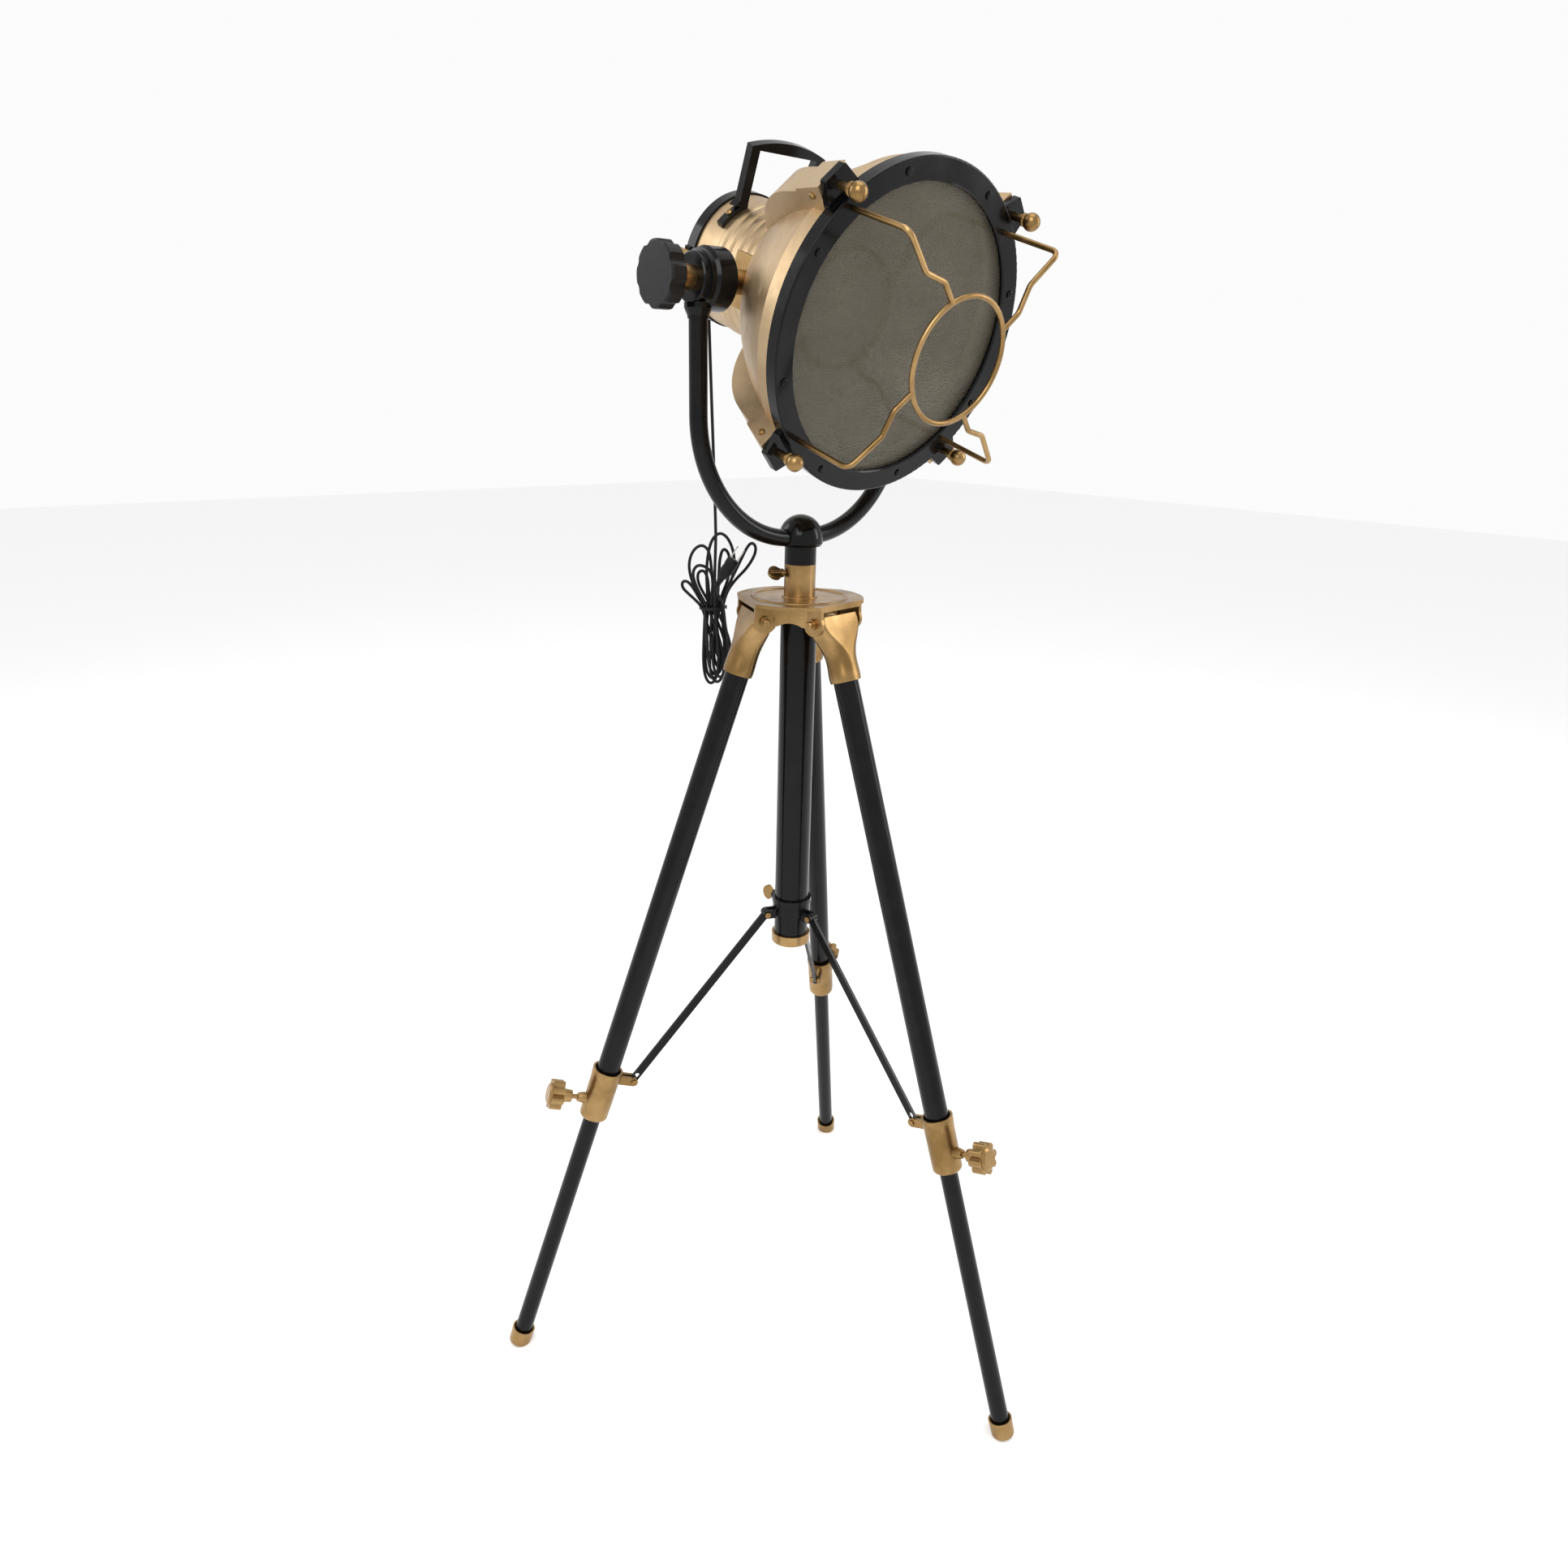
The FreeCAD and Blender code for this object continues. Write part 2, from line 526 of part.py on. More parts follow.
def build_strut(number):
    """A flat bar with a round eye at the spreader and a slotted eye at the leg."""
    out, drop = leg_pin_place()
    reach = math.hypot(out - size("strut_out"), size("strut_up") - drop)
    frame = strut_frame(number)
    half, eye = "strut_wide / 2", "(strut_pin + 3.4)"
    bar = padded(f"bar_{number}", (
        (half, "0"), (f"0 - {half}", "0"), (f"0 - {half}", f"0 - {reach:.4f}"), (half, f"0 - {reach:.4f}")),
        "strut_thick", frame, "XZ_Plane")
    ends = [rod(f"strut_end_{number}_{spot}", eye, "strut_thick",
                across(frame * at(0, -size("strut_thick") / 2, -reach * spot))) for spot in (0, 1)]
    blank = joined(f"strut_blank_{number}", [bar, *ends])
    hole = rod(f"strut_hole_{number}", "strut_pin + fit_gap", "20", across(frame * at(0, -10, 0)))
    gap = "strut_pin + 1"
    slot = [rod(f"strut_slot_{number}_{end}", gap, "20",
                across(frame * at(0, -10, -reach + shift))) for end, shift in enumerate((0, size("strut_slot")))]
    channel = brick(f"strut_channel_{number}", f"2 * ({gap})", "20", "strut_slot", frame * at(z=-reach))
    keep(less(f"strut_done_{number}", blank, hole, *slot, channel), f"strut_{number + 1}")


# --------------------------------------------------------------------------------------------------- yoke
def build_yoke():
    bottom, half, bend = "yoke_low", "yoke_half", "yoke_bend"
    tube_top = "pivot_up - housing_radius + 3"
    tube = piped("yoke_pipe", (
        (f"0 - {half}", tube_top), (f"0 - {half}", f"{bottom} + {bend}", bend),
        (f"0 - {half} + {bend}", bottom), (f"{half} - {bend}", bottom, bend),
        (half, f"{bottom} + {bend}"), (half, tube_top)), "yoke_radius", "2", STAND)
    keep(tube, "yoke_tube")
    head = turned("yoke_head", (
        ("0", "plate_top - 8"), ("spigot_radius", "plate_top - 8"), ("spigot_radius", "collar_top + 0.1"),
        ("collar_radius", "collar_top + 0.1"), ("collar_radius", "ball_foot"),
        ("ball_radius - 2", "ball_foot"), ("ball_radius", "ball_foot + 3"),
        ("ball_radius", "yoke_low", "ball_radius"), ("0", "yoke_low + ball_radius")), STAND)
    through = piped("yoke_through", (
        (f"0 - {half}", tube_top), (f"0 - {half}", f"{bottom} + {bend}", bend),
        (f"0 - {half} + {bend}", bottom), (f"{half} - {bend}", bottom, bend),
        (half, f"{bottom} + {bend}"), (half, tube_top)), "yoke_radius", "", STAND)
    keep(less("yoke_ball_done", head, through), "yoke_ball")


def side_frame(side):
    """A frame on the tilt axis whose Z axis points out to one side of the lamp."""
    return STAND * at(z=size("pivot_up")) * about(Y_AXIS, 90 * side)


def build_side(side, word):
    """One side's pivot housing and clamp knob."""
    frame = side_frame(side)
    body = turned(f"housing_{word}", (
        ("shaft_radius + fit_gap", "housing_inner"), ("housing_radius - 2", "housing_inner"),
        ("housing_radius", "housing_inner + 2"), ("housing_radius", "housing_outer - 16"),
        ("housing_radius - 3", "housing_outer - 13"), ("housing_radius - 3", "housing_outer - 8"),
        ("housing_radius - 6", "housing_outer - 7"), ("housing_radius - 6", "housing_outer - 1.5"),
        ("housing_radius - 7.5", "housing_outer"), ("shaft_radius + fit_gap", "housing_outer")), frame)
    arm = STAND * at(side * size("yoke_half"), 0, size("pivot_up"))
    neck = turned(f"neck_{word}", (
        ("0", "0 - housing_radius - 7"), ("yoke_radius + 1", "0 - housing_radius - 7"),
        ("yoke_radius + 1.4", "0 - housing_radius - 4"), ("yoke_radius + 4.5", "0 - housing_radius + 3"),
        ("yoke_radius + 4.5", "0 - housing_radius + 8"), ("0", "0 - housing_radius + 8")), arm)
    seat = rod(f"seat_{word}", "yoke_radius", "17", arm * at(z=-size("housing_radius") - 14))
    step = rod(f"step_{word}", "yoke_radius + 6", "40", frame * at(z=size("housing_outer")))
    bore = rod(f"housing_bore_{word}", "shaft_radius + fit_gap", "60",
               frame * at(z=size("housing_inner") - 10))
    keep(less(f"housing_done_{word}", joined(f"housing_blank_{word}", [body, neck]), seat, bore, step),
         f"pivot_housing_{word}")
    disc = turned(f"knob_disc_{word}", (
        ("shaft_radius - 4", "tilt_knob_inner - 3"), ("shaft_radius + 4", "tilt_knob_inner - 3"),
        ("shaft_radius + 5", "tilt_knob_inner"), ("tilt_knob_radius - 2.4", "tilt_knob_inner", "2.4"),
        ("tilt_knob_radius", "tilt_knob_inner + 2.4"), ("tilt_knob_radius", "tilt_knob_outer - 2.4", "2.4"),
        ("tilt_knob_radius - 2.4", "tilt_knob_outer"), ("0", "tilt_knob_outer"),
        ("0", "tilt_knob_inner + 6"), ("shaft_radius - 4", "tilt_knob_inner + 6")), frame)
    bites = [rod(f"bite_{word}_{turn}", "9", "40", frame * about(Z_AXIS, 45 * turn + 22.5)
                 * at(size("tilt_knob_radius") + 5.8, 0, size("tilt_knob_inner") - 10)) for turn in range(8)]
    keep(less(f"knob_done_{word}", disc, *bites), f"tilt_knob_{word}")


# --------------------------------------------------------------------------------------------------- head
def head_frame():
    """The head's own frame on its optical axis: X to the side, Y up, Z forwards, level with the pivot."""
    pivot = STAND * at(z=size("pivot_up")) * about(X_AXIS, 90 + size("tilt"))
    return pivot * at(0, -size("head_drop"), 0)


HEAD = head_frame()
BOWL_OUTER = (
    ("barrel_radius", "0 - barrel_front"), ("barrel_radius + 2.5", "-5.5"), ("95", "10", "345"),
    ("150", "112"), ("152.5", "114.5"), ("154", "ring_face - ring_deep"),
)


def head_spot(degrees, out, forward):
    """A frame on the head at an angle about its axis, its X axis pointing away from the axis."""
    return HEAD * about(Z_AXIS, degrees) * at(out, 0, forward)


def bowl_cover(name, grow):
    """The solid space inside the bowl's outer face, from the barrel's mouth to the front ring."""
    outline = [("0", BOWL_OUTER[0][1])]
    for corner in BOWL_OUTER:
        outline.append((f"{corner[0]} + {grow}",) + tuple(corner[1:]))
    return turned(name, outline + [("0", "ring_face - ring_deep")], HEAD)


def build_barrel():
    corners = [("barrel_radius - sheet_wall", "0 - barrel_rear"), ("barrel_radius", "0 - barrel_rear")]
    for bead in range(5):
        middle = -73 + 13.6 * bead
        corners += [("barrel_radius", f"{middle:.1f} - 5.6", "17"), ("barrel_radius", f"{middle:.1f} + 5.6")]
    corners += [("barrel_radius", "0 - barrel_front"),
                ("barrel_radius - sheet_wall", "0 - barrel_front")]
    keep(turned("barrel", corners, HEAD), "lamp_barrel")


def build_bowl():
    outside = bowl_cover("bowl_outside", "0")
    inside = bowl_cover("bowl_inside", "0 - sheet_wall")
    keep(less("bowl_done", outside, inside), "lamp_bowl")


def build_ring():
    """The front ring with its four lugs."""
    back = "ring_face - ring_deep"
    ring = turned("ring", (
        ("154 - sheet_wall", back), ("ring_radius - 0.8", back), ("ring_radius", f"{back} + 0.8"),
        ("ring_radius", "ring_face - 1.5", "1.5"), ("ring_radius - 1.5", "ring_face"),
        ("lens_radius + 1.5", "ring_face"), ("lens_radius", "ring_face - 1.5"),
        ("lens_radius", "ring_face - 4.5"), ("154", "ring_face - 4.5"), ("154", f"{back} + 2"),
        ("154 - sheet_wall", f"{back} + 2")), HEAD)
    lugs = []
    for number in range(4):
        lugs.append(padded(f"lug_{number}", (
            ("155", "-19"), ("161", "-18.4"), ("180.5", "-12.6"), ("181.5", "-11.4"), ("181.5", "11.4"),
            ("180.5", "12.6"), ("161", "18.4"), ("155", "19")), "8",
            head_spot(45 + 90 * number, 0, size("lug_face") - 4)))
    bores = [rod(f"lug_bore_{number}", "4", "60", head_spot(45 + 90 * number, size("stud_out"), 100))
             for number in range(4)]
    keep(less("ring_done", joined("ring_blank", [ring, *lugs]), *bores), "front_ring")
    screws = [turned(f"ring_screw_{number}", (
        ("0", "ring_face"), ("3.9", "ring_face"), ("3.9", "ring_face + 1.2"), ("2.6", "ring_face + 2.4"),
        ("0", "ring_face + 2.4")), head_spot(19 + 45 * number, 148.5, 0)) for number in range(8)]
    keep(grouped("ring_screw_group", screws), "ring_screws")
    studs = [turned(f"stud_{number}", (
        ("0", "lug_face - 12.4"), ("5", "lug_face - 12.4"), ("5", "lug_face - 8.02"),
        ("4", "lug_face - 8.02"), ("4", "stud_ball - 10"), ("6.4", "stud_ball - 10"), ("6.4", "stud_ball - 8"),
        ("stud_ball_radius * 0.6", "stud_ball - stud_ball_radius * 0.8", "stud_ball_radius"),
        ("stud_ball_radius", "stud_ball", "stud_ball_radius"), ("0", "stud_ball + stud_ball_radius")),
        head_spot(45 + 90 * number, size("stud_out"), 0)) for number in range(4)]
    keep(grouped("stud_group", studs), "guard_studs")


def build_glass():
    for name, back, thick in (("lens_glass", "ring_face - 8", "3.4"), ("mesh_screen", "ring_face - 9.4", "0.8")):
        keep(turned(name + "_disc", (("0", back), ("150", back), ("150", f"{back} + {thick}"),
                                     ("0", f"{back} + {thick}")), HEAD), name)


def bent_wire(spots, radius):
    """A round wire through the spots with a tangent arc of the given radius at each inner one."""
    edges, start = [], spots[0]
    for before, spot, after in zip(spots, spots[1:], spots[2:]):
        back, on = (before - spot).normalize(), (after - spot).normalize()
        turn = math.pi - back.getAngle(on)
        run = radius * math.tan(turn / 2)
        first, last = spot + back * run, spot + on * run
        centre = spot + (back + on).normalize() * (radius / math.cos(turn / 2))
        middle = centre + (spot - centre).normalize() * radius
        edges += [Part.LineSegment(start, first).toShape(), Part.Arc(first, middle, last).toShape()]
        start = last
    edges.append(Part.LineSegment(start, spots[-1]).toShape())
    return Part.Wire(edges)


def tube_along(wire, start, heading, radius):
    """A solid round tube along a wire."""
    section = Part.Wire([Part.Circle(start, heading, radius).toShape()])
    return wire.makePipeShell([section], True, True)


def build_guard():
    """The wire guard: a ring held by four wires, each stepping sideways on its way in."""
    face, ring = size("guard_face"), size("guard_radius")
    root, corner, swirl = size("guard_root"), size("guard_corner"), size("guard_swirl")
    thick = size("guard_wire")
    spots = [Vector(root, 0, size("ring_face")), Vector(root, 0, corner), Vector(103, 0, corner + 2.5),
             Vector(81, -swirl, corner + 3.8), Vector(math.sqrt(ring ** 2 - swirl ** 2), -swirl, face)]
    solid = tube_along(bent_wire(spots, 9.5), spots[0], Z_AXIS, thick)
    whole = hoop("guard_hoop", "guard_radius", "guard_wire", HEAD * at(z=face))
    document.recompute()
    shape = whole.Shape
    for number in range(4):
        leg = solid.copy()
        leg.Placement = head_spot(45 + 90 * number, 0, 0)
        shape = leg.fuse(shape)
    whole = document.addObject("Part::Feature", "guard_whole")
    whole.Shape = shape
    keep(whole, "wire_guard")


def build_brackets():
    """Four channel-shaped struts that brace the lugs over the bowl to the barrel."""
    cover = bowl_cover("bracket_seat", "0.02")
    front = "lug_face - 8.02"
    pieces = []
    for number in range(4):
        frame = head_spot(45 + 90 * number, 0, 0) * about(X_AXIS, 90)
        rear = padded(f"bracket_rear_{number}", (
            ("95.5", "10"), ("99", "11", "96"), ("157.5", "78"), ("163", "98"), ("165", "110"), ("140", "110"),
            ("94", "30")), "32", frame)
        inner = padded(f"bracket_inner_{number}", (
            ("90", "13"), ("97.5", "14.5", "93.5"), ("155", "80"), ("160.5", "99"), ("163", "111"),
            ("140", "111"), ("90", "30")), "27", frame)
        sleeve = padded(f"bracket_sleeve_{number}", (
            ("165.6", "97.5"), ("167.2", "100"), ("178.4", front), ("146", front), ("146", "97.5")), "34.4", frame)
        space = padded(f"bracket_space_{number}", (
            ("161.5", "95"), ("164.4", "100"), ("175.6", "137"), ("140", "137"), ("140", "95")), "29", frame)
        whole = joined(f"bracket_whole_{number}", [less(f"bracket_open_{number}", rear, inner),
                                                   less(f"bracket_hood_{number}", sleeve, space)])
        pieces.append(less(f"bracket_done_{number}", whole, cover))
    keep(grouped("bracket_group", pieces), "channel_brackets")


def build_handle():
    """The carrying handle: an arched grip on two legs whose feet lie on the barrel."""
    half, rise = "handle_half", "handle_rise"
    right = [(f"{half} - 11", f"{rise} - 3"), (f"{half} - 15", "62"), ("34", "57"), ("40", "40"),
             ("56", "30"), ("63", "40"), (f"{half} - 4", "63")]
    corners = list(right)
    corners += [(half, rise, "160"), (f"0 - {half}", rise)]
    corners += [(f"0 - ({x})", y) for x, y in reversed(right)]
    lean = HEAD * at(0, 50, -size("handle_back")) * about(X_AXIS, 9.5) * at(0, size("head_drop") - 50, 0)
    plate = padded("handle_plate", corners, "10", lean)
    seat = rod("handle_seat", "barrel_radius + 0.02", "80", HEAD * at(z=-120))
    clear = less("handle_clear", plate, seat)
    thin = document.addObject("Part::Common", "handle_feet")
    thin.Base, thin.Tool = clear, rod("handle_round", "barrel_radius + 4.6", "80", HEAD * at(z=-120))
    upper = less("handle_upper", clear, brick("handle_low", "200", "60", "80", HEAD * at(0, 29, -120)))
    keep(joined("handle_whole", [upper, thin]), "carry_handle")


def build_trunnions():
    """A shaft on each side, welded to a bracket that is riveted to the barrel and bowl."""
    sides = []
    for side, word in ((-1, "left"), (1, "right")):
        frame = side_frame(side)
        shaft = rod(f"shaft_{word}", "shaft_radius", "tilt_knob_inner - 3.05 - 84", frame * at(z=84))
        stub = rod(f"stub_{word}", "shaft_radius - 4.1", "8.55", frame * at(z=size("tilt_knob_inner") - 3.05))
        plate = STAND * at(z=size("pivot_up")) * about(X_AXIS, size("tilt"))
        leaf = brick(f"leaf_{word}", "5", "34", "52", plate * at(side * 84, 2, -26))
        saddle = brick(f"saddle_{word}", "24", "34", "30", plate * at(side * 74, 2, -15))
        whole = joined(f"trunnion_blank_{word}", [shaft, stub, leaf, saddle])
        bore = rod(f"trunnion_space_{word}", "barrel_radius + 0.97", "140", HEAD * at(z=-132))
        cover = bowl_cover(f"trunnion_seat_{word}", "0.02")
        sides.append(less(f"trunnion_{word}", whole, bore, cover))
    keep(grouped("trunnion_group", sides), "trunnions")


def build_hardware():
    """Round-headed screws on the brackets, the handle's feet and the latches, and the latch plates."""
    pieces = []

    def screw(name, frame, head=3.4):
        pieces.append(turned(name, (("0", "0"), (f"{head}", "0"), (f"{head}", "1.2"),
                                    (f"{head} * 0.6", "2.4"), ("0", "2.4")), frame))

    for number in range(4):
        for side in (-1, 1):
            edge = head_spot(45 + 90 * number, 166, 122) * at(0, side * 17.22, 0)
            screw(f"bracket_screw_{number}_{side}", edge * about(X_AXIS, -90 * side))
    for side in (-1, 1):
        angle = 90 + side * 45
        screw(f"handle_screw_{side}", outwards(head_spot(angle, size("barrel_radius") + 4.6,
                                                         -size("handle_back"))), 3.6)
    for side in (-1, 1):
        face = 0 if side > 0 else 180
        plate = outwards(head_spot(face, size("barrel_radius") + 0.1, -98))
        base = brick(f"latch_plate_{side}", "13", "18", "3", plate)
        lips = [brick(f"latch_lip_{side}_{end}", "10", "2", "11", plate * at(0.5, end * 8, 0))
                for end in (-1, 1)]
        pin = rod(f"latch_pin_{side}", "1.6", "18", across(plate * at(3, -9, 8)))
        whole = joined(f"latch_base_{side}", [base, *lips, pin])
        pieces.append(less(f"latch_seat_{side}", whole, rod(f"latch_round_{side}", "barrel_radius + 0.05",
                                                            "60", HEAD * at(z=-130))))
    keep(grouped("hardware_group", pieces), "head_hardware")


def build_latch(side, word):
    """A toggle lever: a flat finger with a rolled end, over the keeper on the rear cap."""
    face = 0 if side > 0 else 180
    frame = outwards(head_spot(face, size("barrel_radius") + 0.1, -98))
    frame = frame * (Placement() if side > 0 else about(Z_AXIS, 0))
    rear = frame * at(3, 0, 8)
    blank = padded(f"lever_{word}", (
        ("-3.4", "0-2.4"), ("3.6", "0-2.6"), ("34", "3.2"), ("50", "11"), ("48.8", "13.4"), ("33", "6"),
        ("3", "3.4"), ("-3.4", "2.8")), "12", rear, "XZ_Plane")
    hole = rod(f"lever_hole_{word}", "1.6 + fit_gap", "40", across(rear * at(0, -20, 0)))
    keep(less(f"lever_done_{word}", blank, hole), f"latch_lever_{word}")


def build_rear_cap():
    """The cap that closes the barrel and carries the lamp holder; it pulls off to the rear."""
    front, rim = "0 - barrel_rear - 0.2", "rim_radius"
    back = "0 - barrel_rear - rear_rim"
    shell = turned("cap_shell", (
        (f"{rim} - 3", front), (rim, front), (rim, f"{back} + 1.5"), (f"{rim} - 1.5", back, "0-200"),
        ("0", f"{back} - 9"), ("0", f"{back} - 7"), (f"{rim} - 3", f"{back} + 2")), HEAD)
    keepers = []
    for side in (-1, 1):
        face = 0 if side > 0 else 180
        keepers.append(brick(f"keeper_{side}", "9", "18", "4",
                             outwards(head_spot(face, size(rim) - 1, -size("barrel_rear") - 7.5))))
    gland_frame = gland_place()
    hole = rod("cap_hole", "5", "30", gland_frame * at(z=-15))
    cap = keep(less("cap_done", joined("cap_blank", [shell, *keepers]), hole), "rear_cap")
    gland = turned("gland", (
        ("0", "-6"), ("7", "-6"), ("7", "-3.2"), ("5", "-3.2"), ("5", "0"), ("7.4", "0"), ("7.4", "3"),
        ("5.4", "4"), ("3.6", "19"), ("0", "19")), gland_frame)
    keep(less("gland_fitted", gland, cap), "cord_gland")


def gland_place():
    """The strain relief's frame on the rear cap: Z points to the rear and a little down."""
    back = -size("barrel_rear + rear_rim") - 5.6
    return HEAD * at(0, -42, back) * about(X_AXIS, 180 + 6)


def build_lamp():
    """The lamp holder on the rear cap's inner face, and its globe bulb."""
    back = -size("barrel_rear + rear_rim")
    keep(turned("holder", (
        ("0", f"{back} - 7"), ("17", f"{back} - 7 + 9 * 17 / (rim_radius - 3)"), ("17", f"{back} + 3"), ("21", f"{back} + 10"),
        ("21", f"{back} + 56"), ("14", f"{back} + 56"), ("14", f"{back} + 30"), ("0", f"{back} + 30")),
        HEAD), "lamp_holder")
    keep(turned("globe", (
        ("0", f"{back} + 31"), ("13", f"{back} + 31"), ("13", f"{back} + 57"), ("17", f"{back} + 64", "0-44"),
        ("30", f"{back} + 92", "30"), ("0", f"{back} + 122")), HEAD), "bulb")


# --------------------------------------------------------------------------------------------------- cord
def build_cord():
    """The cord as it hangs: a lead from the strain relief, a tied hank and a two-pin plug."""
    end = gland_place()
    start = end.multVec(Vector(0, 0, 19.05 + size("cord_radius")))
    heading = end.Rotation.multVec(Z_AXIS)
    middle = size("column_y") + size("hank_middle")
    top = Vector(size("column_x") + 5, middle, 1047)
    corner = end.multVec(Vector(0, 0, 28))
    spots = [start, corner, corner + Vector(0, 5.5, -9), corner + Vector(0.3, 6.5, -23), top]
    edges, before, radii = [], spots[0], []
    for first, spot, after in zip(spots, spots[1:], spots[2:]):
        back, on = first - spot, after - spot
        short = min(back.Length, on.Length)
        back.normalize()
        on.normalize()
        turn = math.pi - back.getAngle(on)
        radius = 0.45 * short / math.tan(turn / 2)
        radii.append(radius)
        enter, leave = spot + back * 0.45 * short, spot + on * 0.45 * short
        centre = spot + (back + on).normalize() * (radius / math.cos(turn / 2))
        edges += [Part.LineSegment(before, enter).toShape(),
                  Part.Arc(enter, centre + (spot - centre).normalize() * radius, leave).toShape()]
        before = leave
    edges.append(Part.LineSegment(before, top).toShape())
    path = Part.Wire(edges)
    lead = document.addObject("Part::Feature", "lead")
    swept = tube_along(path, start, heading, size("cord_radius"))
    lead.Shape = swept.fuse(Part.makeSphere(size("cord_radius"), start))
    keep(lead, "cord_lead")
    print("cord radii, mm:", [round(radius, 1) for radius in radii], "lead length:", round(path.Length, 1))
    print("lead volume / (section x length):",
          round(swept.Volume / (math.pi * size("cord_radius") ** 2 * path.Length), 4))
    build_hank(Vector(size("column_x") + 5, middle, 0))


def build_hank(foot):
    """The tied hank's outer shape: loops fan out above the tie and close in below it."""
    wires = []
    for height, wide, deep, shift in ((1047, 7, 4, 0), (1040, 27, 12, 4), (1026, 41, 14, 5), (1005, 44, 18, 1), (985, 34, 17, -3),
                                      (957, 12, 9, -4), (925, 17, 12, -1), (880, 17, 10, 3), (852, 9, 6, 5),
                                      (846, 4, 3, 5)):
        ellipse = Part.Ellipse(Vector(), wide, deep).toShape()
        turn = Placement(foot + Vector(shift * 0.75, -shift * 0.66, height), Rotation(Z_AXIS, -41.5))
        wire = Part.Wire([ellipse])
        wire.Placement = turn
        wires.append(wire)
    hank = document.addObject("Part::Feature", "hank")
    hank.Shape = Part.makeLoft(wires, True, False)
    plug_frame = at(foot.x, foot.y, 0) * about(Z_AXIS, -41.5) * at(18, -26.5, 1003) * about(Y_AXIS, 33)
    body = padded("plug_body", (("-4.5", "-17"), ("4.5", "-17"), ("8", "-9"), ("8", "11"), ("-8", "11"),
                                ("-8", "-9")), "11", plug_frame, "XZ_Plane")
    blades = [brick(f"blade_{side}", "1.4", "6", "16", plug_frame * at(side * 4.6, 0, 11)) for side in (-1, 1)]
    keep(hank, "cord_hank")
    keep(joined("plug_whole", [body, *blades]), "cord_plug")


build_hub()
build_column()
thumbscrew("socket_thumbscrew", screw_frame(), "spigot_radius + 0.1", "collar_radius + 4.5", 55)
build_bolts()
build_spreader()
thumbscrew("spreader_thumbscrew", spreader_screw_frame(), "column_radius + 0.1", "spreader_radius + 8", 0)
for leg in range(3):
    build_socket(leg)
    build_upper_leg(leg)
    build_leg_collar(leg)
    build_lower_leg(leg)
    build_collar_knob(leg)
    build_strut(leg)
build_yoke()
build_barrel()
build_bowl()
build_ring()
build_glass()
build_guard()
build_brackets()
build_handle()
build_trunnions()
build_hardware()
build_rear_cap()
build_lamp()
for side, word in ((-1, "left"), (1, "right")):
    build_side(side, word)
    build_latch(side, word)
build_cord()
document.recompute()

failed = [item.Name for item in document.Objects if {"Invalid", "Error"} & set(item.State)]
failed += [piece.Label for piece in kept if piece.Shape.isNull() or not piece.Shape.isValid()
           or not piece.Shape.Solids]
if failed:
    raise RuntimeError("these objects failed: " + ", ".join(failed))
os.makedirs("parts", exist_ok=True)
for piece in kept:
    piece.Shape.exportStep(f"parts/{piece.Label}.step")
    print(f"{piece.Label:24s} solids {len(piece.Shape.Solids)}  volume {piece.Shape.Volume / 1000:9.1f} cm3")
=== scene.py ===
import json
import math

import bmesh
import bpy
from mathutils import Matrix, Vector


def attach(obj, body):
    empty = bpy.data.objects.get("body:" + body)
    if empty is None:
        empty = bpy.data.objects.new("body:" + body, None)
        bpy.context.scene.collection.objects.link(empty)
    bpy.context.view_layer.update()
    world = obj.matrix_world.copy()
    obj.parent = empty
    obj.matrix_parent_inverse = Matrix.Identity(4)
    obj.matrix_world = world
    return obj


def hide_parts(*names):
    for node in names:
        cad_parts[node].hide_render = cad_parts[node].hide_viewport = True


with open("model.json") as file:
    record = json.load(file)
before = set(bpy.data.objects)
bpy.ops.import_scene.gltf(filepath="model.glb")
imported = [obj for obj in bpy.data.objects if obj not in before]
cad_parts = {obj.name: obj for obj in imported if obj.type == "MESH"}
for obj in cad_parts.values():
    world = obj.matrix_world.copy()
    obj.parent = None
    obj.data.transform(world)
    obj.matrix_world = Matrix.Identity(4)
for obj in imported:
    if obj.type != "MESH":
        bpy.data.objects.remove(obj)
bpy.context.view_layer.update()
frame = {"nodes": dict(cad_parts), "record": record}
nodes = frame["nodes"]
scene = bpy.context.scene

COLUMN = Vector((0.0223, 0.0717, 0.0))
PIVOT = 1.3109
TILT = math.radians(17.9)
HEAD_DROP = 0.003
RIGHT = Vector((1, 0, 0))
UPWARD = Vector((0, -math.sin(TILT), math.cos(TILT)))
FORWARD = Vector((0, -math.cos(TILT), -math.sin(TILT)))
AXIS = Vector((COLUMN.x, COLUMN.y, PIVOT)) - UPWARD * HEAD_DROP


def head_point(side, up, ahead):
    """A point in the head's own frame: to the side, up and ahead along the optical axis, in metres."""
    return AXIS + RIGHT * side + UPWARD * up + FORWARD * ahead


# ------------------------------------------------------------------------------------------------ camera
CAMERA_SPOT = (-0.8482, -0.8956, 1.2107)
CAMERA_RIGHT = Vector((0.7546, -0.6558, 0.0216))
CAMERA_UP = Vector((0.2008, 0.2622, 0.9439))
LENS_MM, SENSOR_MM = 26, 36


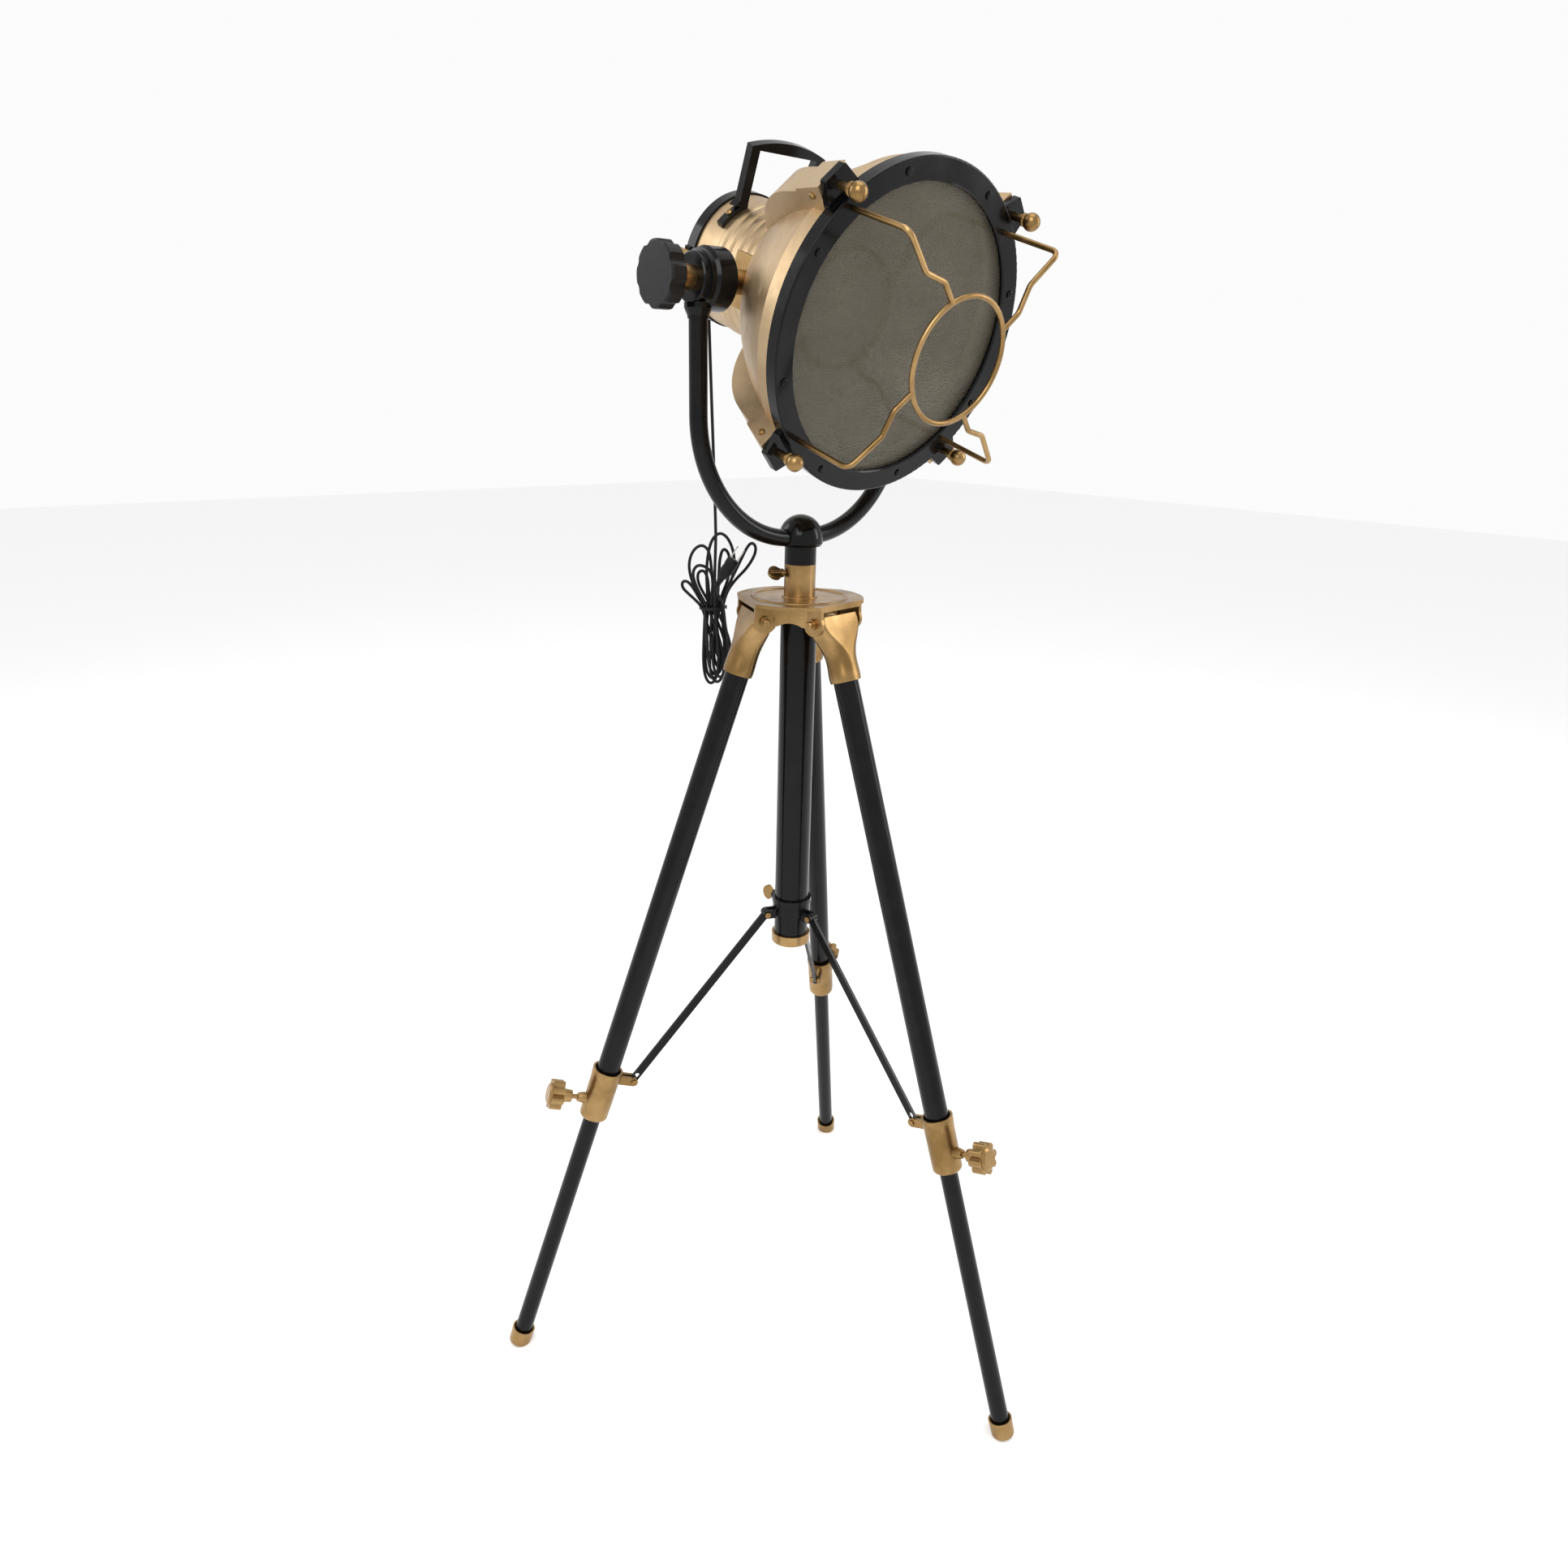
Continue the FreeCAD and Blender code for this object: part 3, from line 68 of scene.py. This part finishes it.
def set_camera():
    """The camera, from its place and its own right and up directions."""
    camera = bpy.data.objects.new("camera", bpy.data.cameras.new("camera"))
    scene.collection.objects.link(camera)
    camera.data.lens, camera.data.sensor_width = LENS_MM, SENSOR_MM
    camera.data.clip_start = 0.05
    right, back = CAMERA_RIGHT.normalized(), CAMERA_RIGHT.cross(CAMERA_UP).normalized()
    turn = Matrix((right, back.cross(right), back)).transposed().to_4x4()
    camera.matrix_world = Matrix.Translation(CAMERA_SPOT) @ turn
    scene.camera = camera


# --------------------------------------------------------------------------------------------- materials
EDGE_SAMPLES = 4
WIRES_PER_METRE = 620
WIRE_SHARE = 0.30


def shader(name, base, metallic=0.0, roughness=0.4, **sockets):
    """A new material and its node tree with one Principled shader set from plain values."""
    material = bpy.data.materials.new(name)
    material.use_nodes = True
    tree = material.node_tree
    main = tree.nodes["Principled BSDF"]
    main.inputs["Base Color"].default_value = (*base, 1)
    main.inputs["Metallic"].default_value = metallic
    main.inputs["Roughness"].default_value = roughness
    for socket, value in sockets.items():
        main.inputs[socket.replace("_", " ")].default_value = value
    return material, tree, main


def noise(tree, scale, detail=4.0, roughness=0.55, stretch=(1, 1, 1)):
    """Noise over the object's own coordinates, which are metres."""
    place = tree.nodes.new("ShaderNodeTexCoord")
    mapping = tree.nodes.new("ShaderNodeMapping")
    mapping.inputs["Scale"].default_value = stretch
    tree.links.new(place.outputs["Object"], mapping.inputs["Vector"])
    node = tree.nodes.new("ShaderNodeTexNoise")
    node.inputs["Scale"].default_value = scale
    node.inputs["Detail"].default_value = detail
    node.inputs["Roughness"].default_value = roughness
    tree.links.new(mapping.outputs["Vector"], node.inputs["Vector"])
    return node.outputs["Fac"]


def spread(tree, source, low, high, start=0.35, end=0.65):
    """Maps a value from start..end onto low..high."""
    node = tree.nodes.new("ShaderNodeMapRange")
    for socket, value in (("From Min", start), ("From Max", end), ("To Min", low), ("To Max", high)):
        node.inputs[socket].default_value = value
    tree.links.new(source, node.inputs["Value"])
    return node.outputs["Result"]


def blended(tree, source, first, second, start=0.35, end=0.65):
    """A colour between two, by a value."""
    node = tree.nodes.new("ShaderNodeValToRGB")
    node.color_ramp.elements[0].position, node.color_ramp.elements[1].position = start, end
    node.color_ramp.elements[0].color, node.color_ramp.elements[1].color = (*first, 1), (*second, 1)
    tree.links.new(source, node.inputs["Fac"])
    return node.outputs["Color"]


def bumped(tree, main, sources, edge=0.0):
    """Stacks bumps of (value, strength, distance) on the shader's normal, over softened edges."""
    normal = None
    if edge:
        soft = tree.nodes.new("ShaderNodeBevel")
        soft.samples = EDGE_SAMPLES
        soft.inputs["Radius"].default_value = edge
        normal = soft.outputs["Normal"]
    for value, strength, distance in sources:
        node = tree.nodes.new("ShaderNodeBump")
        node.inputs["Strength"].default_value = strength
        node.inputs["Distance"].default_value = distance
        tree.links.new(value, node.inputs["Height"])
        if normal:
            tree.links.new(normal, node.inputs["Normal"])
        normal = node.outputs["Normal"]
    tree.links.new(normal, main.inputs["Normal"])


def bronze(name, dark, light, rough, grain, edge):
    """Antique bronze: patina in soft clouds, handling marks in the gloss and a fine grain."""
    material, tree, main = shader(name, light, 1.0, rough[0])
    cloud = noise(tree, 14, 5, 0.6)
    tree.links.new(blended(tree, cloud, dark, light, 0.38, 0.62), main.inputs["Base Color"])
    marks = noise(tree, 60, 6, 0.65)
    tree.links.new(spread(tree, marks, *rough), main.inputs["Roughness"])
    fine = noise(tree, 900, 3, 0.6)
    wave = noise(tree, 90, 2, 0.5)
    bumped(tree, main, ((wave, 0.12, 0.0004), (fine, grain, 0.0001)), edge)
    return material


def enamel(name, base, rough, coat, edge):
    """Gloss black enamel with a slight orange peel and faint smears in the gloss."""
    material, tree, main = shader(name, base, 0.0, rough[0], Coat_Weight=coat, Coat_Roughness=0.08,
                                  Specular_IOR_Level=0.15)
    smears = noise(tree, 22, 5, 0.6, (1, 1, 0.35))
    tree.links.new(spread(tree, smears, *rough), main.inputs["Roughness"])
    lighter = tuple(value * 2.2 for value in base)
    tree.links.new(blended(tree, noise(tree, 45, 4, 0.6), base, lighter, 0.4, 0.75),
                   main.inputs["Base Color"])
    peel = noise(tree, 320, 2, 0.5)
    bumped(tree, main, ((peel, 0.10, 0.00012),), edge)
    return material


def moulded(name, base, rough, texture, depth):
    """Moulded plastic or a smooth rubber sheath."""
    material, tree, main = shader(name, base, 0.0, rough[0], Specular_IOR_Level=0.2)
    tree.links.new(spread(tree, noise(tree, 70, 4), *rough), main.inputs["Roughness"])
    lighter = tuple(value * 1.8 + 0.001 for value in base)
    tree.links.new(blended(tree, noise(tree, 35, 4), base, lighter), main.inputs["Base Color"])
    bumped(tree, main, ((noise(tree, texture, 3), 0.25, depth),), 0.0004)
    return material


def clear_glass(name, tint, alpha):
    """Thin clear glass: mostly see-through, with a hard gloss and a faint haze of dust."""
    material, tree, main = shader(name, tint, 0.0, 0.04, Coat_Weight=0.6, Coat_Roughness=0.03, IOR=1.5)
    haze = noise(tree, 9, 5, 0.6)
    tree.links.new(spread(tree, haze, alpha * 0.8, alpha * 1.3), main.inputs["Alpha"])
    tree.links.new(spread(tree, noise(tree, 40, 4), 0.03, 0.10), main.inputs["Roughness"])
    return material


def dark_mesh(name):
    """Fine woven wire, drawn as wires with gaps between them in the head's own plane."""
    material, tree, main = shader(name, (0.060, 0.050, 0.032), 0.6, 0.5)
    place = tree.nodes.new("ShaderNodeTexCoord")
    turn = tree.nodes.new("ShaderNodeMapping")
    turn.inputs["Rotation"].default_value = (-(math.pi / 2 + TILT), 0, 0)
    tree.links.new(place.outputs["Object"], turn.inputs["Vector"])
    parts = tree.nodes.new("ShaderNodeSeparateXYZ")
    tree.links.new(turn.outputs["Vector"], parts.inputs["Vector"])
    lines = []
    for axis in ("X", "Y"):
        scaled = tree.nodes.new("ShaderNodeMath")
        scaled.operation = "MULTIPLY"
        scaled.inputs[1].default_value = WIRES_PER_METRE
        tree.links.new(parts.outputs[axis], scaled.inputs[0])
        part = tree.nodes.new("ShaderNodeMath")
        part.operation = "FRACT"
        tree.links.new(scaled.outputs[0], part.inputs[0])
        wire = tree.nodes.new("ShaderNodeMath")
        wire.operation = "LESS_THAN"
        wire.inputs[1].default_value = WIRE_SHARE
        tree.links.new(part.outputs[0], wire.inputs[0])
        lines.append(wire.outputs[0])
    both = tree.nodes.new("ShaderNodeMath")
    both.operation = "MAXIMUM"
    tree.links.new(lines[0], both.inputs[0])
    tree.links.new(lines[1], both.inputs[1])
    tree.links.new(both.outputs[0], main.inputs["Alpha"])
    tree.links.new(spread(tree, noise(tree, 30, 4), 0.35, 0.6), main.inputs["Roughness"])
    return material


def dished_metal(name):
    """A dull, slightly cloudy spun metal."""
    material, tree, main = shader(name, (0.28, 0.245, 0.175), 1.0, 0.3)
    tree.links.new(blended(tree, noise(tree, 12, 4, 0.55), (0.12, 0.10, 0.07), (0.30, 0.265, 0.19)),
                   main.inputs["Base Color"])
    tree.links.new(spread(tree, noise(tree, 35, 5), 0.16, 0.34), main.inputs["Roughness"])
    bumped(tree, main, ((noise(tree, 260, 2), 0.08, 0.0002),))
    return material


MATERIALS = {
    "bronze": bronze("bronze", (0.21, 0.125, 0.045), (0.37, 0.235, 0.10), (0.27, 0.40), 0.10, 0.0007),
    "bronze_sheet": bronze("bronze_sheet", (0.40, 0.285, 0.165), (0.50, 0.37, 0.22), (0.36, 0.47),
                           0.05, 0.0005),
    "black_enamel": enamel("black_enamel", (0.0020, 0.0020, 0.0022), (0.12, 0.24), 0.06, 0.0006),
    "black_plastic": moulded("black_plastic", (0.004, 0.004, 0.0045), (0.34, 0.48), 700, 0.00012),
    "rubber": moulded("rubber", (0.004, 0.004, 0.0045), (0.36, 0.50), 900, 0.00006),
    "lens": clear_glass("lens", (0.26, 0.235, 0.175), 0.10),
    "mesh": dark_mesh("mesh"),
    "bulb_glass": clear_glass("bulb_glass", (0.95, 0.90, 0.80), 0.30),
    "porcelain": moulded("porcelain", (0.70, 0.67, 0.60), (0.12, 0.22), 120, 0.0001),
    "steel": bronze("steel", (0.42, 0.40, 0.37), (0.62, 0.58, 0.54), (0.18, 0.32), 0.08, 0.0002),
    "reflector": dished_metal("reflector"),
}


def dress_nodes():
    """Gives each CAD node the material of its slot."""
    for part in frame["record"]["subparts"]:
        mesh = nodes[part["node"]].data
        mesh.materials.clear()
        mesh.materials.append(MATERIALS[part["material_slot"]])


# ------------------------------------------------------------------------------------------------ pieces
def made(name, mesh, body, material, replaced=()):
    """Links a new piece, gives it its material and has it ride on its body."""
    piece = bpy.data.objects.new(name, mesh)
    scene.collection.objects.link(piece)
    piece.data.materials.append(MATERIALS[material])
    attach(piece, body)
    if replaced:
        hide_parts(*replaced)
    return piece


def meshed(name, form, smooth=()):
    """The form as a mesh, with the faces of the given corner counts shaded smooth."""
    mesh = bpy.data.meshes.new(name)
    form.to_mesh(mesh)
    form.free()
    for face in mesh.polygons:
        if len(face.vertices) in smooth:
            face.use_smooth = True
    return mesh


def banded(form, rings):
    """Joins each ring of points to the next with four-sided faces."""
    steps = len(rings[0])
    for lower, upper in zip(rings, rings[1:]):
        for step in range(steps):
            after = (step + 1) % steps
            form.faces.new((lower[step], lower[after], upper[after], upper[step]))


def lathed(name, outline, place, steps=96):
    """A mesh turned about the place's Z axis from (radius, height) points."""
    form = bmesh.new()
    rings = []
    turns = [2 * math.pi * step / steps for step in range(steps)]
    for radius, height in outline:
        spots = [Vector((radius * math.cos(turn), radius * math.sin(turn), height)) for turn in turns]
        rings.append([form.verts.new(place @ spot) for spot in spots])
    banded(form, rings)
    return meshed(name, form, smooth=(4,))


HEAD = Matrix((RIGHT, UPWARD, FORWARD)).transposed().to_4x4()
HEAD.translation = AXIS


DISH_STEPS = 24
DISH_HOLE, DISH_WIDTH = 0.028, 0.118
DISH_BACK, DISH_DEPTH, DISH_CURVE = -0.002, 0.112, 2.2


def build_reflector():
    """The dish round the bulb, seen through the lens."""
    outline = []
    for step in range(DISH_STEPS + 1):
        share = step / DISH_STEPS
        outline.append((DISH_HOLE + DISH_WIDTH * share, DISH_BACK + DISH_DEPTH * share ** DISH_CURVE))
    made("reflector_dish", lathed("reflector_dish", outline, HEAD), "head", "reflector")


# -------------------------------------------------------------------------------------------------- cord
CORD_RADIUS = 0.0019
TIE_RADIUS = 0.0009
TIE_TURNS, TIE_STEPS, TIE_PITCH = 2, 16, 1.6
TIE_HALF_WIDTH, TIE_HALF_DEPTH = 17.0, 10.6
GLAND_BELOW, GLAND_BEHIND = 0.042, 0.1326
GLAND_LEAN = math.radians(6)
GLAND_TIP, FIRST_BEND = 0.0192, 0.028
HANK = Vector((0.0273, 0.2347, 0))
HANK_TURN = math.radians(41.5)
ACROSS = Vector((math.cos(HANK_TURN), -math.sin(HANK_TURN), 0))
INWARD = Vector((math.sin(HANK_TURN), math.cos(HANK_TURN), 0))
TIE = 947
FOLD_HALF_WIDTH, FOLD_HALF_BOTTOM = 10, 8
PLUG = (18, -26.5, 1003)
PLUG_LEAN = math.radians(33)


def hank_point(across, inward, up):
    """A point of the hank from millimetres across it, into it and above the floor."""
    return HANK + ACROSS * across / 1000 + INWARD * inward / 1000 + Vector((0, 0, up / 1000))


LOOPS = (
    # For each turn: where the cord passes the tie going up, its loop above the tie, where it passes the
    # tie going down, and the bottom of the fold after it. All are in hank_point's millimetres; the two
    # places in the tie have no height of their own, because they lie at TIE.
    ((-14, 5), ((-24, 7, 962), (-33, 9, 984), (-35, 9, 1002), (-29, 8, 1018), (-18, 7, 1025), (-9, 6, 1018),
                (-6, 5, 998), (-4, 5, 970)), (-3, 5), (-4, 2, 856)),
    ((-10, 0), ((-11, 1, 968), (-12, 0, 992), (-10, -2, 1014), (-5, -4, 1033), (5, -6, 1042), (15, -7, 1036),
                (22, -8, 1021), (24, -8, 1003), (21, -7, 985), (13, -5, 970)), (5, -1), (2, -5, 853)),
    ((7, 4), ((12, 5, 967), (21, 7, 986), (31, 8, 1007), (38, 8, 1022), (44, 7, 1029), (50, 6, 1024),
              (48, 6, 1012), (38, 6, 996), (25, 6, 983), (14, 5, 968)), (8, 0), (7, 3, 868)),
    ((-17, -1), ((-25, -2, 956), (-35, -3, 965), (-42, -4, 972), (-42, -5, 980), (-35, -6, 981),
                 (-27, -6, 971), (-20, -5, 958)), (-13, -4), (0, -2, 862)),
    ((-9, -5), ((-17, -6, 960), (-25, -7, 976), (-29, -8, 991), (-24, -9, 1001), (-15, -9, 1001),
                (-6, -8, 995), (-3, -7, 981), (-5, -6, 963)), (-5, -4), (3, 6, 874)),
    ((-5, 0), ((-14, 1, 962), (-23, 2, 978), (-23, 2, 991), (-15, 1, 994), (-10, 0, 984), (-9, 0, 967)),
     (-7, 4), (9, 0, 881)),
    ((1, -5), ((3, -6, 964), (4, -7, 986), (5, -8, 1009), (9, -8, 1023), (16, -7, 1018), (19, -5, 1001),
               (15, -3, 982), (8, -2, 965)), (3, 3), (6, -6, 860)),
)


def fold(start, end, low):
    """The strand from one place in the tie down round a fold and back up to another."""
    centre, inward, height = low
    side = 1 if end[0] >= start[0] else -1
    deep = TIE - height
    spots = []
    down = (0.22, 0.46, 0.72, 0.91)
    for strand, place, shares in ((-side, start, down), (side, end, down[::-1])):
        for share in shares:
            bulge = FOLD_HALF_WIDTH if share < 0.8 else FOLD_HALF_BOTTOM
            ease = min(1, share * 1.6)
            spots.append((place[0] + (centre + strand * bulge - place[0]) * ease,
                          place[1] + (inward - place[1]) * share, TIE - deep * share))
    bottom = [(centre - side * 3, inward, height - 1), (centre + side * 3, inward, height - 1)]
    return spots[:len(down)] + bottom + spots[len(down):]


def cord_route():
    """The cord's points from the strain relief, through the hank's turns, to the plug."""
    end = head_point(0, -GLAND_BELOW, -GLAND_BEHIND)
    heading = (UPWARD * math.sin(GLAND_LEAN) - FORWARD * math.cos(GLAND_LEAN)).normalized()
    start = end + heading * GLAND_TIP
    corner = end + heading * FIRST_BEND
    route = [start, corner, corner + Vector((0, 0.0055, -0.009)), corner + Vector((0.0003, 0.0065, -0.023)),
             hank_point(0, 0, 1047)]
    route += [hank_point(0, -9, 1020), hank_point(-1, -11, 985), hank_point(0, -10, 960)]
    place = (-1, -9)
    route.append(hank_point(*place, TIE))
    low = (-6, -4, 851)
    for enter, loop, leave, after in LOOPS:
        route += [hank_point(*spot) for spot in fold(place, enter, low)]
        route.append(hank_point(*enter, TIE))
        route += [hank_point(*spot) for spot in loop]
        route.append(hank_point(*leave, TIE))
        place, low = leave, after
    last = (10, -5)
    route += [hank_point(*spot) for spot in fold(place, last, low)]
    route += [hank_point(*last, TIE), hank_point(8, -12, 958), hank_point(3, -19, 968),
              hank_point(3, -24, 977), hank_point(6, -26.5, 984), hank_point(10, -26.5, 991)]
    return start, route


def strand(name, spots, radius, sides, steps):
    """A round curve that runs smoothly along the spots."""
    curve = bpy.data.curves.new(name, "CURVE")
    curve.dimensions = "3D"
    curve.bevel_depth, curve.bevel_resolution = radius, sides
    curve.resolution_u = steps
    line = curve.splines.new("NURBS")
    line.points.add(len(spots) - 1)
    for point, spot in zip(line.points, spots):
        point.co = (*spot, 1)
    line.order_u = 3
    line.use_endpoint_u = True
    return curve


def build_cord():
    """The whole cord as one curve, and the point where it leaves the strain relief."""
    start, route = cord_route()
    curve = strand("cord", route, CORD_RADIUS, sides=4, steps=6)
    return start, made("cord", curve, "cord", "rubber", ("cord_lead", "cord_hank"))


def ringed(name, place, rings, power=2.6, steps=32):
    """A closed form from superellipse rings of (half width, half depth, height)."""
    form = bmesh.new()
    loops = []
    for wide, deep, height in rings:
        loop = []
        for step in range(steps):
            turn = 2 * math.pi * step / steps
            x, y = math.cos(turn), math.sin(turn)
            loop.append(form.verts.new(place @ Vector((
                wide * math.copysign(abs(x) ** (2 / power), x),
                deep * math.copysign(abs(y) ** (2 / power), y), height))))
        loops.append(loop)
    banded(form, loops)
    form.faces.new(loops[0][::-1])
    form.faces.new(loops[-1])
    return meshed(name, form, smooth=(4,))


def build_plug():
    """The two-pin plug with its ribbed relief."""
    turn = Matrix((ACROSS, INWARD, Vector((0, 0, 1)))).transposed().to_4x4()
    place = Matrix.Translation(hank_point(*PLUG)) @ turn @ Matrix.Rotation(PLUG_LEAN, 4, "Y")
    rings = [(0.0024, 0.0024, -0.029)]
    for rib in range(4):
        base = -0.0285 + 0.0028 * rib
        grow = 0.0026 + 0.0003 * rib
        wide = grow + 0.0007
        rings += [(wide, wide, base + 0.0004), (wide, wide, base + 0.0016),
                  (grow, grow, base + 0.0019), (grow, grow, base + 0.0026)]
    rings += [(0.0045, 0.0042, -0.0165), (0.0070, 0.0052, -0.011), (0.0080, 0.0055, -0.006),
              (0.0074, 0.0050, -0.001), (0.0080, 0.0055, 0.004), (0.0080, 0.0055, 0.0095),
              (0.0074, 0.0050, 0.011)]
    body = made("plug_body", ringed("plug_body", place, rings), "cord", "rubber", ("cord_plug",))
    form = bmesh.new()
    half, thick = 0.0030, 0.0007
    outline = [(-half, 0.010), (half, 0.010), (half, 0.0245), (half * 0.6, 0.0268), (-half * 0.6, 0.0268),
               (-half, 0.0245)]
    for side in (-1, 1):
        faces = [[form.verts.new(place @ Vector((side * 0.0046 + edge, across, height)))
                  for across, height in outline] for edge in (-thick, thick)]
        form.faces.new(faces[0])
        form.faces.new(faces[1][::-1])
        for step in range(len(outline)):
            after = (step + 1) % len(outline)
            form.faces.new((faces[0][after], faces[0][step], faces[1][step], faces[1][after]))
    return body, made("plug_blades", meshed("plug_blades", form), "cord", "steel")


def build_tie():
    """Two turns of a thin tie round the hank's waist."""
    spots = []
    for step in range(TIE_TURNS * TIE_STEPS + 1):
        turn = 2 * math.pi * step / TIE_STEPS
        height = TIE - 1 + TIE_PITCH * step / TIE_STEPS + 1.5 * math.sin(turn + 0.6)
        spots.append(hank_point(TIE_HALF_WIDTH * math.cos(turn) - 3.5, TIE_HALF_DEPTH * math.sin(turn) - 0.5,
                                height))
    curve = strand("hank_tie", spots, TIE_RADIUS, sides=3, steps=12)
    return made("hank_tie", curve, "cord", "black_plastic")


def set_cord():
    """Builds the cord with its plug and tie."""
    start, cord = build_cord()
    body, blades = build_plug()
    tie = build_tie()


# -------------------------------------------------------------------------------------------------- stage
FLOOR_HALF = 12
WORLD_STRENGTH = 0.97


def set_stage():
    """A wide pale floor under a white sky, and soft boxes round the lamp."""
    form = bmesh.new()
    form.faces.new([form.verts.new((x * FLOOR_HALF, y * FLOOR_HALF, 0))
                    for x, y in ((-1, -1), (1, -1), (1, 1), (-1, 1))])
    mesh = meshed("floor", form)
    floor = bpy.data.objects.new("floor", mesh)
    scene.collection.objects.link(floor)
    material, tree, main = shader("floor_paint", (0.93, 0.93, 0.93), 0.0, 0.75)
    tree.links.new(spread(tree, noise(tree, 3, 3), 0.70, 0.80), main.inputs["Roughness"])
    mesh.materials.append(material)
    world = bpy.data.worlds.new("studio")
    world.use_nodes = True
    world.node_tree.nodes["Background"].inputs["Color"].default_value = (1.0, 1.0, 1.0, 1)
    world.node_tree.nodes["Background"].inputs["Strength"].default_value = WORLD_STRENGTH
    scene.world = world
    for name, spot, aim, wide, tall, power in (
            ("key", (-2.2, -1.6, 2.9), (0, 0, 1.1), 1.6, 2.2, 52),
            ("side", (2.4, -1.8, 1.9), (0, 0, 1.0), 0.8, 2.4, 32),
            ("rear", (-1.6, 2.6, 2.6), (0, 0, 1.0), 1.4, 1.6, 24),
            ("top", (0.2, -0.3, 3.6), (0, 0, 0.8), 1.8, 1.8, 22)):
        data = bpy.data.lights.new(name, "AREA")
        data.shape = "RECTANGLE"
        data.size, data.size_y, data.energy = wide, tall, power
        light = bpy.data.objects.new(name, data)
        light.location = spot
        light.rotation_euler = (Vector(aim) - Vector(spot)).to_track_quat("-Z", "Y").to_euler()
        scene.collection.objects.link(light)
    scene.view_settings.view_transform = "Standard"


set_camera()
set_cord()
dress_nodes()
build_reflector()
set_stage()
